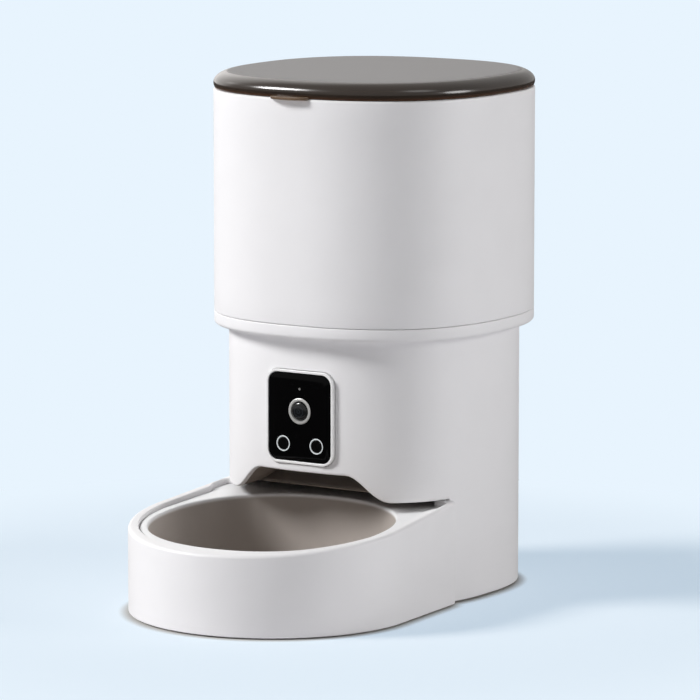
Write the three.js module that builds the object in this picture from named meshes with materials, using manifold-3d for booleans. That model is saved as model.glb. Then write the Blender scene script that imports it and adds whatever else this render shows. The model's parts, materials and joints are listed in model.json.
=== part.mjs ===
// Camera pet feeder: a rounded hopper on a geared base, with a bowl tray that slides into the base.
// Millimetres, +Z up, front towards -Y. The whole feeder is first laid out round the hopper's axis.
import * as THREE from 'three';
import { mergeVertices } from 'three/addons/utils/BufferGeometryUtils.js';
import Module from 'manifold-3d';

const wasm = await Module();
wasm.setup();

// General fits and the fineness of round forms
const fit = { seat: 0.3, slide: 1, overrun: 5 };
const roundSteps = 40;
const ringSteps = 24;
const smallSteps = 16;

// Hopper and lid: rounded-square sections, drawn in from the outer skin by insets
const hopper = {
  halfWidth: 95, halfDepth: 96.8, power: 2.44, top: 316.3, wall: 2.6, edge: 0.6,
  ledgeHeight: 229, ledgeDepth: 3, ledgeReach: 3.4, ledgeSlope: 4,
};
const lid = {
  height: 10.9, flatInset: 10.7, edgeInset: 0.6, skin: 3, rimWidth: 5.5, shoulderInset: 5.2,
  skirtInset: 5, skirtWidth: 2, skirtDepth: 8, tabHalf: 13.8, tabReach: 5.2, tabThick: 2.2, tabDrop: 1.5,
};
const lidEdgeShares = [[0.05, 0.12], [0, 0.3], [0.06, 0.55], [0.2, 0.78], [0.5, 0.94]];
const seal = { drop: 2, height: 4 };
const desiccant = {
  radius: 35, wall: 2, depth: 22, capThick: 2, collar: 3.4, ventRadius: 3, ventCircle: 20, vents: 6,
  ridgeHalf: 14, ridgeThick: 2.4, ridgeDrop: 5,
};

// Funnel, floor and rotor
const well = { radius: 60, wall: 2, rimHeight: 203, floorTop: 181, floorThick: 2.3 };
const funnel = { flange: 6.5, flangeRise: 7, skin: 2.4 };
const funnelShares = [0.35, 0.7];
const port = { halfWidth: 20, rear: -26, front: -54 };
const guard = { inner: 14, thick: 2, halfAngle: 0.62, edge: 0.8, rise: 0.6 };
const rotor = { hub: 13, hubTop: 206, blades: 6, bladeThick: 3, tipGap: 0.9, floorGap: 0.8, topGap: 0.6 };
const coupling = { radius: 6, play: 0.5, top: 193, floorHole: 8 };
const agitator = { hub: 11, height: 6, armReach: 46, armThick: 4, armHeight: 3, finger: 18, fingerTop: 16 };
const knob = { radius: 9, height: 6, grips: 8, gripRadius: 1.2 };

// Base shell: shoulder ring above, rounded body below, arch and panel opening in front
const ring = { top: 175.9, bottom: 167.7, edge: 0.5, round: 3, seat: 6, seatDepth: 5.35, ledge: 7.85 };
const body = { halfWidth: 85.7, halfDepth: 85.2, power: 2.59, bottom: 1.2, wall: 2.6, fillet: 6.2, edge: 0.8 };
const filletShares = [[0.04, 0.45], [0.14, 0.76], [0.36, 0.94]];
const arch = { top: 82.7, side: 66.4, topHalf: 31.5, sideHalf: 58, seam: -39.7, steps: 6 };
const deck = { thick: 2.5 };

// Camera panel
const panel = {
  halfWidth: 25, low: 87.4, high: 146.6, corner: 8.5, proud: 1.1, bezel: 1.8, bezelDepth: 5, ledge: 3,
  ledgeThick: 1.8, glassDrop: 0.3, glass: 2,
};
const lens = {
  height: 120.9, ringOuter: 8.2, ringInner: 5.8, ringProud: 0.3, ringDepth: 2.8, dome: 1.4, depth: 2.5,
};
const barrel = { radius: 7, depth: 7.4, neck: 5, neckDepth: 2 };
const board = { halfWidth: 20, low: 91, high: 144, thick: 1.6 };
const dot = { height: 134.9, radius: 0.75, depth: 6 };
const button = {
  offset: 12.3, height: 99.8, radius: 4, ringWidth: 0.6, flange: 5.5, flangeThick: 1, flangeGap: 0.5,
  depth: 5.2, travel: 0.8,
};
const tact = { half: 3, body: 3.3, plunger: 1.6 };

// Chute and recess for the bowl
const chute = { wall: 2, flange: 3, flangeThick: 1.8, topGap: 0.5, eyeHeight: 100, eyeRadius: 1.5 };
const recess = { sideGap: 8.8, wall: 2, rearGap: 3.2 };
const ramp = { front: -50, low: 69, rear: -24, thick: 2 };
const eye = { half: 3.5, depth: 6 };

// Base plate and what stands on the floor
const plate = { thick: 2.4 };
const foot = {
  radius: 6.5, height: 0.9, frontSideGap: 24.3, seamGap: 11.5, rearSideGap: 19.3, rearGap: 36.9,
};
const screw = {
  head: 3, headThick: 1, shank: 1.2, length: 12, hole: 1.5, boss: 4.8, bossHeight: 14, sinkDepth: 1.3,
  sideGap: 6.9, recessGap: 17, rearX: 20, rearGap: 7.9,
};

// Power: three cells side by side behind the recess, and the inlet
const cell = { radius: 16.9, length: 59.5, nub: 4.7, nubLength: 1.5, pitch: 34.1, rearGap: 18.9, height: 24 };
const holder = { wall: 1.8, end: 2.2, roof: 1.8, contact: 2 };
const inlet = {
  x: 30, height: 52, halfWidth: 6, halfHeight: 5, depth: 14, sunk: 0.6, bore: 3.2, boreDepth: 9,
};

// Drive: motor pinion, idler and drive gear, one tooth size throughout
const gear = {
  tooth: 1, driveTeeth: 44, wheelTeeth: 40, pinionTeeth: 12, driveLow: 152, driveThick: 7.5, wheelLow: 147.3,
  wheelThick: 4, pinionThick: 4.4, shaft: 5, shaftEnd: 4, addendumShare: 0.85, dedendumShare: 1.15,
};
const toothShares = { root: 0.27, tip: 0.1 };
const bracket = { halfWidth: 32, front: -21, rear: 70, low: 144, thick: 3, post: 4, inset: 5 };
const pin = { radius: 2, top: 162 };
const motor = { radius: 11.5, length: 35, shaft: 1.1, neck: 4, neckLength: 2.4, hole: 4.5 };
const bush = { flange: 10, flangeThick: 1.6, drop: 4 };

// Electronics on the rear wall
const mainBoard = { halfWidth: 34, low: 83, high: 107.5, rearGap: 10.9, thick: 1.6, bossInset: 4, boss: 3 };
const speaker = {
  x: -22, height: 66, radius: 14, depth: 7, rearGap: 13.9, rim: 12, holes: 6, holeRadius: 1.3, circle: 6,
};

// Tray and bowl
const tray = {
  bulge: 4.6, taper: 0.064, noseStart: -114.3, noseReach: 90.3, nosePower: 2, seamGap: 0.5, sideGap: 1,
  rearGap: 3, corner: 14, bottom: 0.8, floor: 3, rimStart: 48.4, rise: 0.091, riseFrom: -205, riseTo: -40, crest: 2.4,
  rimWidth: 5, inset: 0.9, tongueFloor: 5.2,
};
const cavity = { sideWall: 5, rearWall: 4, corner: 12, stepRear: -45, stepFront: -65 };
const bowl = {
  groove: 1.5, lip: 48.1, rise: 0.085, lipDrop: 3, lipRound: 1.4, wall: 2.2, floor: 2.5, footInset: 18,
  turnInset: 7, turnRise: 3, bellyInset: 1, bellyHeight: 12,
};
const basin = { halfWidth: 77.5, halfDepth: 71, centre: -117, power: 2.15, round: 2 };
const pad = { depth: 10, height: 0.5, rearY: -60, rearHalf: 60, noseY: -175, noseHalf: 22 };

// Derived places
const lidTop = hopper.top + lid.height;
const lidLow = hopper.top + fit.seat;
const seatHeight = ring.top - ring.seatDepth;
const deckLow = seatHeight + fit.seat;
const deckTop = deckLow + deck.thick;
const floorLow = well.floorTop - well.floorThick;
const wellFoot = well.floorTop + fit.seat;
const plateTop = body.bottom + plate.thick;
const panelMiddle = (panel.low + panel.high) / 2;
const panelHalfHeight = (panel.high - panel.low) / 2;
const panelFront = -body.halfDepth - panel.proud;
const glassFront = panelFront + panel.glassDrop;
const glassBack = glassFront + panel.glass;
const lensBack = glassFront + lens.depth;
const boardFront = lensBack + fit.seat + barrel.depth + fit.seat;
const buttonFront = glassFront;
const buttonBack = buttonFront + button.depth;
const driveRadius = gear.tooth * gear.driveTeeth / 2;
const wheelRadius = gear.tooth * gear.wheelTeeth / 2;
const pinionRadius = gear.tooth * gear.pinionTeeth / 2;
const idlerY = driveRadius + pinionRadius;
const motorY = idlerY + wheelRadius + pinionRadius;
const bracketTop = bracket.low + bracket.thick;
const cellRear = body.halfDepth - cell.rearGap;
const cellFront = cellRear - cell.length - cell.nubLength;
const holderFront = cellFront - fit.seat - holder.contact - fit.seat;
const holderRear = cellRear + fit.seat + holder.contact + fit.seat;
const holderHalf = cell.pitch + cell.radius + fit.seat;
const holderRoof = cell.height + cell.radius + fit.seat;
const rotorReach = well.radius - rotor.tipGap;
const boardFace = body.halfDepth - mainBoard.rearGap;
const speakerFace = body.halfDepth - speaker.rearGap;
const recessHalf = body.halfWidth - recess.sideGap;
const recessBack = holderFront - holder.end - recess.rearGap - recess.wall;
const trayHalf = body.halfWidth + tray.bulge;
const traySeam = arch.seam - tray.seamGap;
const trayWaist = recessHalf - tray.sideGap;
const trayRear = recessBack - tray.rearGap;
const trayTip = tray.noseStart - tray.noseReach;
const frameShift = -(trayTip + hopper.halfDepth) / 2;

// Colours and finishes, as they look from a step away
const paints = {
  white: [0xf3f3f1, 0.5, 0],
  inner: [0xe4e4e2, 0.6, 0],
  smoke: [0x3c3734, 0.18, 0],
  seal: [0xd8d8d4, 0.7, 0],
  blackGlass: [0x0c0c0e, 0.08, 0],
  chrome: [0xc8cacc, 0.15, 1],
  silver: [0xb4b6b8, 0.25, 1],
  lens: [0x15171c, 0.03, 0],
  black: [0x1c1c1e, 0.55, 0],
  light: [0xdfe6ea, 0.3, 0],
  circuit: [0x1f5a38, 0.5, 0],
  gear: [0xe9e6dc, 0.45, 0],
  steel: [0x9b9da0, 0.3, 1],
  brass: [0xb59a54, 0.3, 1],
  rubber: [0x3a3a3c, 0.85, 0],
  cellWrap: [0x2e4f7c, 0.4, 0],
  soft: [0x8f9295, 0.75, 0],
};

const feeder = new THREE.Group();

// Joining, cutting and placing solids

function solidOf(geometry) {
  const bare = geometry.clone();
  bare.deleteAttribute('normal');
  bare.deleteAttribute('uv');
  const merged = mergeVertices(bare);
  const corner = (i) => new THREE.Vector3().fromBufferAttribute(merged.attributes.position, i);
  const triangles = [];
  let volume = 0;
  for (let i = 0; i < merged.index.count; i += 3) {
    const [a, b, c] = [i, i + 1, i + 2].map((place) => merged.index.getX(place));
    if (a === b || b === c || c === a) continue;
    triangles.push([a, b, c]);
    volume += corner(a).dot(corner(b).cross(corner(c)));
  }
  const outward = volume < 0 ? triangles.map(([a, b, c]) => [a, c, b]) : triangles;
  return new wasm.Manifold(new wasm.Mesh({
    numProp: 3,
    vertProperties: Float32Array.from(merged.attributes.position.array),
    triVerts: Uint32Array.from(outward.flat()),
  }));
}

function meshOf(name, solid, paint) {
  const data = solid.getMesh();
  const geometry = new THREE.BufferGeometry();
  geometry.setAttribute('position', new THREE.BufferAttribute(Float32Array.from(data.vertProperties), 3));
  geometry.setIndex(new THREE.BufferAttribute(Uint32Array.from(data.triVerts), 1));
  geometry.computeVertexNormals();
  const [color, roughness, metalness] = paint;
  const mesh = new THREE.Mesh(geometry, new THREE.MeshStandardMaterial({ color, roughness, metalness }));
  mesh.name = name;
  return mesh;
}

function addPart(name, solid, paint, x = 0, y = 0, z = 0) {
  const mesh = meshOf(name, solid, paint);
  mesh.position.set(x, y, z);
  feeder.add(mesh);
}

const joined = (solids) => solids.reduce((whole, next) => whole.add(next));

function moved(geometry, x, y, z) {
  return solidOf(geometry.translate(x, y, z));
}

function block([xLow, xHigh], [yLow, yHigh], [zLow, zHigh]) {
  const box = new THREE.BoxGeometry(xHigh - xLow, yHigh - yLow, zHigh - zLow);
  return moved(box, (xLow + xHigh) / 2, (yLow + yHigh) / 2, (zLow + zHigh) / 2);
}

// An upright round bar between two heights
function post(radius, low, high, x = 0, y = 0, steps = smallSteps) {
  const bar = new THREE.CylinderGeometry(radius, radius, high - low, steps).rotateX(Math.PI / 2);
  return moved(bar, x, y, (low + high) / 2);
}

// A round bar lying front to back
function peg(radius, front, rear, x, z, steps = smallSteps) {
  return moved(new THREE.CylinderGeometry(radius, radius, rear - front, steps), x, (front + rear) / 2, z);
}

// An outline in plan, pushed up between two heights
function slab(points, low, high) {
  const shape = new THREE.Shape(points);
  return moved(new THREE.ExtrudeGeometry(shape, { depth: high - low, bevelEnabled: false }), 0, 0, low);
}

// An outline seen from the front, x across and z up, pushed back between two depths
function across(points, front, rear) {
  const shape = new THREE.Shape(points);
  const form = new THREE.ExtrudeGeometry(shape, { depth: rear - front, bevelEnabled: false });
  return moved(form.rotateX(Math.PI / 2), 0, rear, 0);
}

// Rings of points, and skins through them

const power = (value, exponent) => Math.sign(value) * Math.abs(value) ** (2 / exponent);

function squircle(section, inset) {
  return Array.from({ length: roundSteps }, (_, i) => {
    const turn = 2 * Math.PI * i / roundSteps;
    return new THREE.Vector2(
      (section.halfWidth - inset) * power(Math.cos(turn), section.power),
      (section.halfDepth - inset) * power(Math.sin(turn), section.power),
    );
  });
}

const hopperRing = (inset) => squircle(hopper, inset);
const bodyRing = (inset) => squircle(body, inset);
const circle = (radius) => squircle({ halfWidth: radius, halfDepth: radius, power: 2 }, 0);
const between = (from, to, share) => from.map((point, i) => point.clone().lerp(to[i], share));

const heightAt = (height, y) => (typeof height === 'function' ? height(y) : height);

// Stations are [ring, height] pairs, and a height may be a function of y
function skin(stations) {
  const steps = stations[0][0].length;
  const lathe = new THREE.LatheGeometry(stations.map((_, i) => new THREE.Vector2(1, i)), steps);
  for (let i = 0; i <= steps; i += 1) {
    stations.forEach(([points, height], j) => {
      const point = points[i % steps];
      const place = i * stations.length + j;
      lathe.attributes.position.setXYZ(place, point.x, point.y, heightAt(height, point.y));
    });
  }
  return solidOf(lathe);
}

// A skin that closes on itself, as a tube or a wall does
const tubeSkin = (stations) => skin([...stations, stations[0]]);

// A skin that closes over the middle at both ends
function cappedSkin(stations, middle = new THREE.Vector2()) {
  const cap = ([points, height]) => [points.map(() => middle), heightAt(height, middle.y)];
  return skin([cap(stations[0]), ...stations, cap(stations[stations.length - 1])]);
}

// Lid, with its seal and the desiccant box under it

function lidCover() {
  const rise = lidTop - lidLow;
  const outer = lidEdgeShares.map(([reach, height]) => (
    [hopperRing(reach * lid.flatInset), lidLow + height * rise]
  ));
  const underside = lidTop - lid.skin;
  const skirtLow = lidLow - lid.skirtDepth;
  const cover = cappedSkin([
    [hopperRing(lid.flatInset), lidTop],
    ...outer.reverse(),
    [hopperRing(lid.edgeInset), lidLow],
    [hopperRing(lid.skirtInset), lidLow],
    [hopperRing(lid.skirtInset), skirtLow],
    [hopperRing(lid.skirtInset + lid.skirtWidth), skirtLow],
    [hopperRing(lid.skirtInset + lid.skirtWidth), underside - lid.shoulderInset],
    [hopperRing(lid.skirtInset + lid.skirtWidth + lid.shoulderInset), underside],
  ]);
  const tabFront = -hopper.halfDepth - lid.tabReach;
  const tabBack = -hopper.halfDepth - fit.seat;
  const tabWidth = [-lid.tabHalf, lid.tabHalf];
  const tabHigh = lidLow + lid.tabThick;
  const tab = block(tabWidth, [tabFront, tabBack + fit.seat + lid.rimWidth / 2], [lidLow, tabHigh]);
  const drop = block(tabWidth, [tabFront, tabBack], [lidLow - lid.tabDrop, tabHigh]);
  return joined([cover, tab, drop]);
}

function lidSeal() {
  const high = lidLow - seal.drop;
  const outer = hopperRing(hopper.wall + fit.seat);
  const inner = hopperRing(lid.skirtInset - fit.seat);
  return tubeSkin([[outer, high - seal.height], [outer, high], [inner, high], [inner, high - seal.height]]);
}

const boxTop = lidTop - lid.skin - fit.seat;
const boxLow = boxTop - desiccant.depth;

function desiccantBox() {
  const inside = desiccant.radius - desiccant.wall;
  return post(desiccant.radius, boxLow, boxTop, 0, 0, ringSteps)
    .subtract(post(inside, boxLow - fit.overrun, boxTop - desiccant.wall, 0, 0, ringSteps));
}

function desiccantCap() {
  const top = boxLow - fit.seat;
  const low = top - desiccant.capThick;
  const collarRadius = desiccant.radius - desiccant.wall - fit.seat;
  const collarTop = top + desiccant.collar;
  const collar = post(collarRadius, low, collarTop, 0, 0, ringSteps)
    .subtract(post(collarRadius - desiccant.wall, top, collarTop + fit.overrun, 0, 0, ringSteps));
  const ridge = block(
    [-desiccant.ridgeHalf, desiccant.ridgeHalf],
    [-desiccant.ridgeThick / 2, desiccant.ridgeThick / 2],
    [low - desiccant.ridgeDrop, top],
  );
  const vents = Array.from({ length: desiccant.vents }, (_, i) => {
    const turn = 2 * Math.PI * (i + 1 / 2) / desiccant.vents;
    const x = desiccant.ventCircle * Math.cos(turn);
    const y = desiccant.ventCircle * Math.sin(turn);
    return post(desiccant.ventRadius, low - fit.overrun, top + fit.overrun, x, y, smallSteps / 2);
  });
  return joined([post(desiccant.radius, low, top, 0, 0, ringSteps), collar, ridge]).subtract(joined(vents));
}

addPart('lid_cover', lidCover(), paints.smoke);
addPart('lid_seal', lidSeal(), paints.seal);
addPart('desiccant_box', desiccantBox(), paints.inner);
addPart('desiccant_cap', desiccantCap(), paints.inner);

// Hopper: shell, funnel, floor and the soft guard over the outlet

function hopperShell() {
  const low = ring.top + fit.seat;
  const inside = hopperRing(hopper.wall);
  const ledge = hopperRing(hopper.wall + hopper.ledgeReach);
  return tubeSkin([
    [hopperRing(hopper.edge), low],
    [hopperRing(0), low + hopper.edge],
    [hopperRing(0), hopper.top - hopper.edge],
    [hopperRing(hopper.edge), hopper.top],
    [inside, hopper.top],
    [inside, hopper.ledgeHeight],
    [ledge, hopper.ledgeHeight],
    [ledge, hopper.ledgeHeight - hopper.ledgeDepth],
    [inside, hopper.ledgeHeight - hopper.ledgeDepth - hopper.ledgeSlope],
    [inside, low],
  ]);
}

function hopperFunnel() {
  const low = hopper.ledgeHeight + fit.seat;
  const high = low + funnel.flangeRise;
  const outer = hopperRing(hopper.wall + fit.seat);
  const inner = hopperRing(hopper.wall + fit.seat + funnel.skin);
  const flange = hopperRing(hopper.wall + funnel.flange);
  const slope = (from, start, to, end) => funnelShares.map((share) => (
    [between(from, to, share), start + (end - start) * share]
  ));
  return tubeSkin([
    [outer, high],
    [outer, low],
    [flange, low],
    ...slope(flange, low, circle(well.radius + well.wall), well.rimHeight),
    [circle(well.radius + well.wall), well.rimHeight],
    [circle(well.radius + well.wall), wellFoot],
    [circle(well.radius), wellFoot],
    [circle(well.radius), well.rimHeight],
    ...slope(inner, low + funnel.skin, circle(well.radius), well.rimHeight).reverse(),
    [inner, low + funnel.skin],
    [inner, high],
  ]);
}

function portCut(low, high, margin = 0) {
  return block(
    [-port.halfWidth - margin, port.halfWidth + margin],
    [port.front - margin, port.rear + margin],
    [low - fit.overrun, high + fit.overrun],
  );
}

function hopperFloor() {
  return slab(hopperRing(hopper.wall + fit.seat), floorLow, well.floorTop)
    .subtract(portCut(floorLow, well.floorTop))
    .subtract(post(coupling.floorHole, floorLow - fit.overrun, well.floorTop + fit.overrun));
}

function outletGuard() {
  const low = well.rimHeight + guard.rise;
  const outer = well.radius - guard.edge;
  const steps = smallSteps / 2;
  const arc = (radius) => Array.from({ length: steps + 1 }, (_, i) => {
    const turn = -Math.PI / 2 + guard.halfAngle * (2 * i / steps - 1);
    return new THREE.Vector2(radius * Math.cos(turn), radius * Math.sin(turn));
  });
  return slab([...arc(outer), ...arc(guard.inner).reverse()], low, low + guard.thick);
}

addPart('hopper_shell', hopperShell(), paints.white);
addPart('hopper_funnel', hopperFunnel(), paints.inner);
addPart('hopper_floor', hopperFloor(), paints.inner);
addPart('outlet_guard', outletGuard(), paints.soft);

// Rotor with its blades, the agitator on top of it, and the knob that holds both

const hexagon = (radius) => Array.from({ length: 6 }, (_, i) => (
  new THREE.Vector2(radius * Math.cos(i * Math.PI / 3), radius * Math.sin(i * Math.PI / 3))
));

function rotorWheel() {
  const low = well.floorTop + fit.seat;
  const blades = Array.from({ length: rotor.blades }, (_, i) => {
    const blade = new THREE.BoxGeometry(
      rotorReach, rotor.bladeThick, well.rimHeight - rotor.topGap - well.floorTop - rotor.floorGap,
    );
    const middle = (well.rimHeight - rotor.topGap + well.floorTop + rotor.floorGap) / 2;
    return solidOf(blade.translate(rotorReach / 2, 0, middle).rotateZ((2 * i + 1) * Math.PI / rotor.blades));
  });
  const bore = slab(hexagon(coupling.radius + coupling.play), low - fit.overrun, coupling.top + fit.slide);
  return joined([post(rotor.hub, low, rotor.hubTop, 0, 0, ringSteps), ...blades]).subtract(bore);
}

function agitatorArms() {
  const low = rotor.hubTop + fit.seat;
  const armLow = low + agitator.height - agitator.armHeight;
  const arm = block(
    [-agitator.armReach, agitator.armReach],
    [-agitator.armThick / 2, agitator.armThick / 2],
    [armLow, armLow + agitator.armHeight],
  );
  const fingers = [-agitator.armReach + agitator.armThick / 2, agitator.finger].map((x) => (
    post(agitator.armThick / 2, armLow, armLow + agitator.fingerTop, x, 0, smallSteps / 2)
  ));
  return joined([post(agitator.hub, low, low + agitator.height), arm, ...fingers]);
}

function rotorKnob() {
  const low = rotor.hubTop + fit.seat + agitator.height + fit.seat;
  const grips = Array.from({ length: knob.grips }, (_, i) => {
    const turn = 2 * Math.PI * i / knob.grips;
    const x = knob.radius * Math.cos(turn);
    const y = knob.radius * Math.sin(turn);
    return post(knob.gripRadius, low - fit.overrun, low + knob.height + fit.overrun, x, y, smallSteps / 2);
  });
  return post(knob.radius, low, low + knob.height, 0, 0, ringSteps).subtract(joined(grips));
}

addPart('rotor', rotorWheel(), paints.soft);
addPart('agitator', agitatorArms(), paints.soft);
addPart('rotor_knob', rotorKnob(), paints.inner);

// Base shell, with the arch and the openings cut through it

// The arch seen from the front: flat top, an S on each side, then straight down
function archOutline(half, grow = 0) {
  const low = -fit.overrun;
  const bend = Array.from({ length: arch.steps + 1 }, (_, i) => {
    const share = i / arch.steps;
    const fall = (1 - Math.cos(Math.PI * share)) / 2;
    return new THREE.Vector2(
      arch.topHalf + grow / 2 + share * (arch.sideHalf - arch.topHalf),
      arch.top + grow - fall * (arch.top - arch.side),
    );
  });
  const sideTop = new THREE.Vector2(half + grow, arch.side + grow);
  const right = [...bend, sideTop, new THREE.Vector2(half + grow, low)];
  const left = right.map((point) => new THREE.Vector2(-point.x, point.y)).reverse();
  return [...left, ...right].reverse();
}

// The panel's rounded rectangle, seen from the front, drawn in by an inset
function panelOutline(inset) {
  const halfX = panel.halfWidth - inset;
  const halfZ = panelHalfHeight - inset;
  const round = Math.max(panel.corner - inset, panel.bezel);
  const quarter = smallSteps / 4;
  const corners = [[1, -1], [1, 1], [-1, 1], [-1, -1]];
  return corners.flatMap(([sideX, sideZ], k) => Array.from({ length: quarter + 1 }, (_, i) => {
    const turn = (k - 1 + i / quarter) * Math.PI / 2;
    return new THREE.Vector2(
      sideX * (halfX - round) + round * Math.cos(turn),
      panelMiddle + sideZ * (halfZ - round) + round * Math.sin(turn),
    );
  }));
}

const screwPlaces = [[1, 1], [1, -1], [-1, 1], [-1, -1]].map(([side, end]) => (
  end > 0
    ? [side * (body.halfWidth - screw.sideGap), recessBack + screw.recessGap]
    : [side * screw.rearX, body.halfDepth - screw.rearGap]
));
const boardBossPlaces = [-1, 1].flatMap((side) => [
  [side * (mainBoard.halfWidth - mainBoard.bossInset), mainBoard.low + mainBoard.bossInset],
  [side * (mainBoard.halfWidth - mainBoard.bossInset), mainBoard.high - mainBoard.bossInset],
]);
const speakerHoles = [[0, 0], ...Array.from({ length: speaker.holes }, (_, i) => {
  const turn = 2 * Math.PI * i / speaker.holes;
  return [speaker.circle * Math.cos(turn), speaker.circle * Math.sin(turn)];
})];
const wallMiddle = body.halfDepth - body.wall / 2;

function shellBosses() {
  const bossLow = plateTop + fit.seat;
  const screwBosses = screwPlaces.map(([x, y]) => (
    post(screw.boss, bossLow, plateTop + screw.bossHeight, x, y)
  ));
  const boardBack = boardFace + mainBoard.thick + fit.seat;
  const boardBosses = boardBossPlaces.map(([x, z]) => (
    peg(mainBoard.boss, boardBack, wallMiddle, x, z, smallSteps / 2)
  ));
  const speakerBack = speakerFace + speaker.depth + fit.seat;
  const speakerBoss = peg(speaker.radius, speakerBack, wallMiddle, speaker.x, speaker.height)
    .subtract(peg(speaker.rim, speakerBack - fit.overrun, body.halfDepth, speaker.x, speaker.height));
  const within = slab(bodyRing(body.wall / 2), 0, ring.top);
  return joined([...screwBosses, ...boardBosses, speakerBoss]).intersect(within);
}

function shellCuts() {
  const panelBack = panelFront + panel.bezelDepth + fit.overrun;
  const panelHole = across(panelOutline(-fit.seat), -body.halfDepth - fit.overrun, panelBack);
  const archHole = across(archOutline(body.halfWidth), -body.halfDepth - fit.overrun, arch.seam);
  const inletHole = block(
    [inlet.x - inlet.halfWidth - fit.seat, inlet.x + inlet.halfWidth + fit.seat],
    [body.halfDepth - inlet.depth, body.halfDepth + fit.overrun],
    [inlet.height - inlet.halfHeight - fit.seat, inlet.height + inlet.halfHeight + fit.seat],
  );
  const soundDepth = [speakerFace, body.halfDepth + fit.overrun];
  const sound = speakerHoles.map(([x, z]) => (
    peg(speaker.holeRadius, ...soundDepth, speaker.x + x, speaker.height + z, smallSteps / 2)
  ));
  const screwHoles = screwPlaces.map(([x, y]) => (
    post(screw.hole, body.bottom, plateTop + screw.length, x, y, smallSteps / 2)
  ));
  return joined([panelHole, archHole, inletHole, ...sound, ...screwHoles]);
}

function baseShell() {
  const outer = bodyRing(0);
  const shelf = hopperRing(ring.round);
  const fillet = filletShares.map(([reach, height]) => (
    [between(outer, shelf, reach), ring.bottom - body.fillet * (1 - height)]
  ));
  const seat = hopperRing(ring.seat);
  const inside = bodyRing(body.wall);
  const wall = tubeSkin([
    [bodyRing(body.edge), body.bottom],
    [outer, body.bottom + body.edge],
    [outer, ring.bottom - body.fillet],
    ...fillet,
    [shelf, ring.bottom],
    [hopperRing(ring.edge), ring.bottom + ring.round - ring.edge],
    [hopperRing(0), ring.bottom + ring.round],
    [hopperRing(0), ring.top - ring.edge],
    [hopperRing(ring.edge), ring.top],
    [seat, ring.top],
    [seat, seatHeight],
    [hopperRing(ring.seat + ring.ledge), seatHeight],
    [inside, ring.bottom - body.fillet],
    [inside, body.bottom],
  ]);
  return wall.add(shellBosses()).subtract(shellCuts());
}

function deckPlate() {
  return slab(hopperRing(ring.seat + fit.seat), deckLow, deckTop)
    .subtract(portCut(deckLow, deckTop, chute.wall + fit.seat))
    .subtract(post(coupling.floorHole, deckLow - fit.overrun, deckTop + fit.overrun));
}

const chuteTop = floorLow - chute.topGap;
const chuteLow = arch.top + recess.wall + fit.seat;

function foodChute() {
  const outside = [
    [-port.halfWidth - chute.wall, port.halfWidth + chute.wall],
    [port.front - chute.wall, port.rear + chute.wall],
  ];
  const flange = outside.map(([low, high]) => [low - chute.flange, high + chute.flange]);
  const rimLow = deckTop + fit.seat;
  const eyes = block(
    outside[0].map((side) => side + Math.sign(side) * fit.overrun),
    [(port.front + port.rear) / 2 - chute.eyeRadius, (port.front + port.rear) / 2 + chute.eyeRadius],
    [chute.eyeHeight - chute.eyeRadius, chute.eyeHeight + chute.eyeRadius],
  );
  return block(...outside, [chuteLow, chuteTop])
    .add(block(...flange, [rimLow, rimLow + chute.flangeThick]))
    .subtract(portCut(chuteLow, chuteTop))
    .subtract(eyes);
}

// A sloped plate under the chute, from the recess's ceiling down towards the bowl
function foodRamp() {
  const high = arch.top + recess.wall;
  const outline = [
    [ramp.front, ramp.low - ramp.thick], [ramp.rear, high - ramp.thick], [ramp.rear, high], [ramp.front, ramp.low],
  ].map(([y, z]) => new THREE.Vector2(y, z));
  const plate = new THREE.ExtrudeGeometry(new THREE.Shape(outline), { depth: arch.sideHalf * 2, bevelEnabled: false });
  return solidOf(plate.rotateX(Math.PI / 2).rotateZ(Math.PI / 2).translate(-arch.sideHalf, 0, 0));
}

function recessLiner() {
  const low = plateTop + fit.seat;
  const rear = recessBack + recess.wall;
  const inside = across(archOutline(recessHalf), -body.halfDepth - fit.overrun, recessBack);
  const width = [-hopper.halfWidth, hopper.halfWidth];
  const trayRoom = block(width, [-hopper.halfDepth, arch.seam], [0, arch.side]);
  const whole = across(archOutline(recessHalf, recess.wall), -body.halfDepth, rear);
  return whole
    .intersect(slab(bodyRing(body.wall + fit.seat), low, ring.top))
    .subtract(inside)
    .subtract(trayRoom)
    .subtract(portCut(arch.top, arch.top))
    .add(foodRamp().intersect(whole));
}

addPart('base_shell', baseShell(), paints.white);
addPart('deck_plate', deckPlate(), paints.inner);
addPart('food_chute', foodChute(), paints.inner);
addPart('recess_liner', recessLiner(), paints.inner);
for (const [name, side] of [['ir_emitter', -1], ['ir_receiver', 1]]) {
  const wallX = port.halfWidth + chute.wall + fit.seat;
  const reach = [side * wallX, side * (wallX + eye.depth)].sort((a, b) => a - b);
  const middle = (port.front + port.rear) / 2;
  addPart(name, block(reach, [middle - eye.half, middle + eye.half],
    [chute.eyeHeight - eye.half, chute.eyeHeight + eye.half]), paints.black);
}

// Camera panel: bezel, glass, lens set, buttons with their light rings, and the board behind

const buttonPlaces = [['feed', 1], ['pairing', -1]].map(([name, side]) => [name, side * button.offset]);
const ringRadius = button.radius + fit.seat + button.ringWidth;

function panelBezel() {
  const back = panelFront + panel.bezelDepth;
  const frame = across(panelOutline(0), panelFront, back)
    .subtract(across(panelOutline(panel.bezel), panelFront - fit.overrun, back + fit.overrun));
  const ledgeFront = glassBack + fit.seat;
  const ledge = across(panelOutline(panel.bezel / 2), ledgeFront, ledgeFront + panel.ledgeThick)
    .subtract(across(panelOutline(panel.bezel + panel.ledge), ledgeFront - fit.overrun, back));
  return frame.add(ledge);
}

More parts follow.
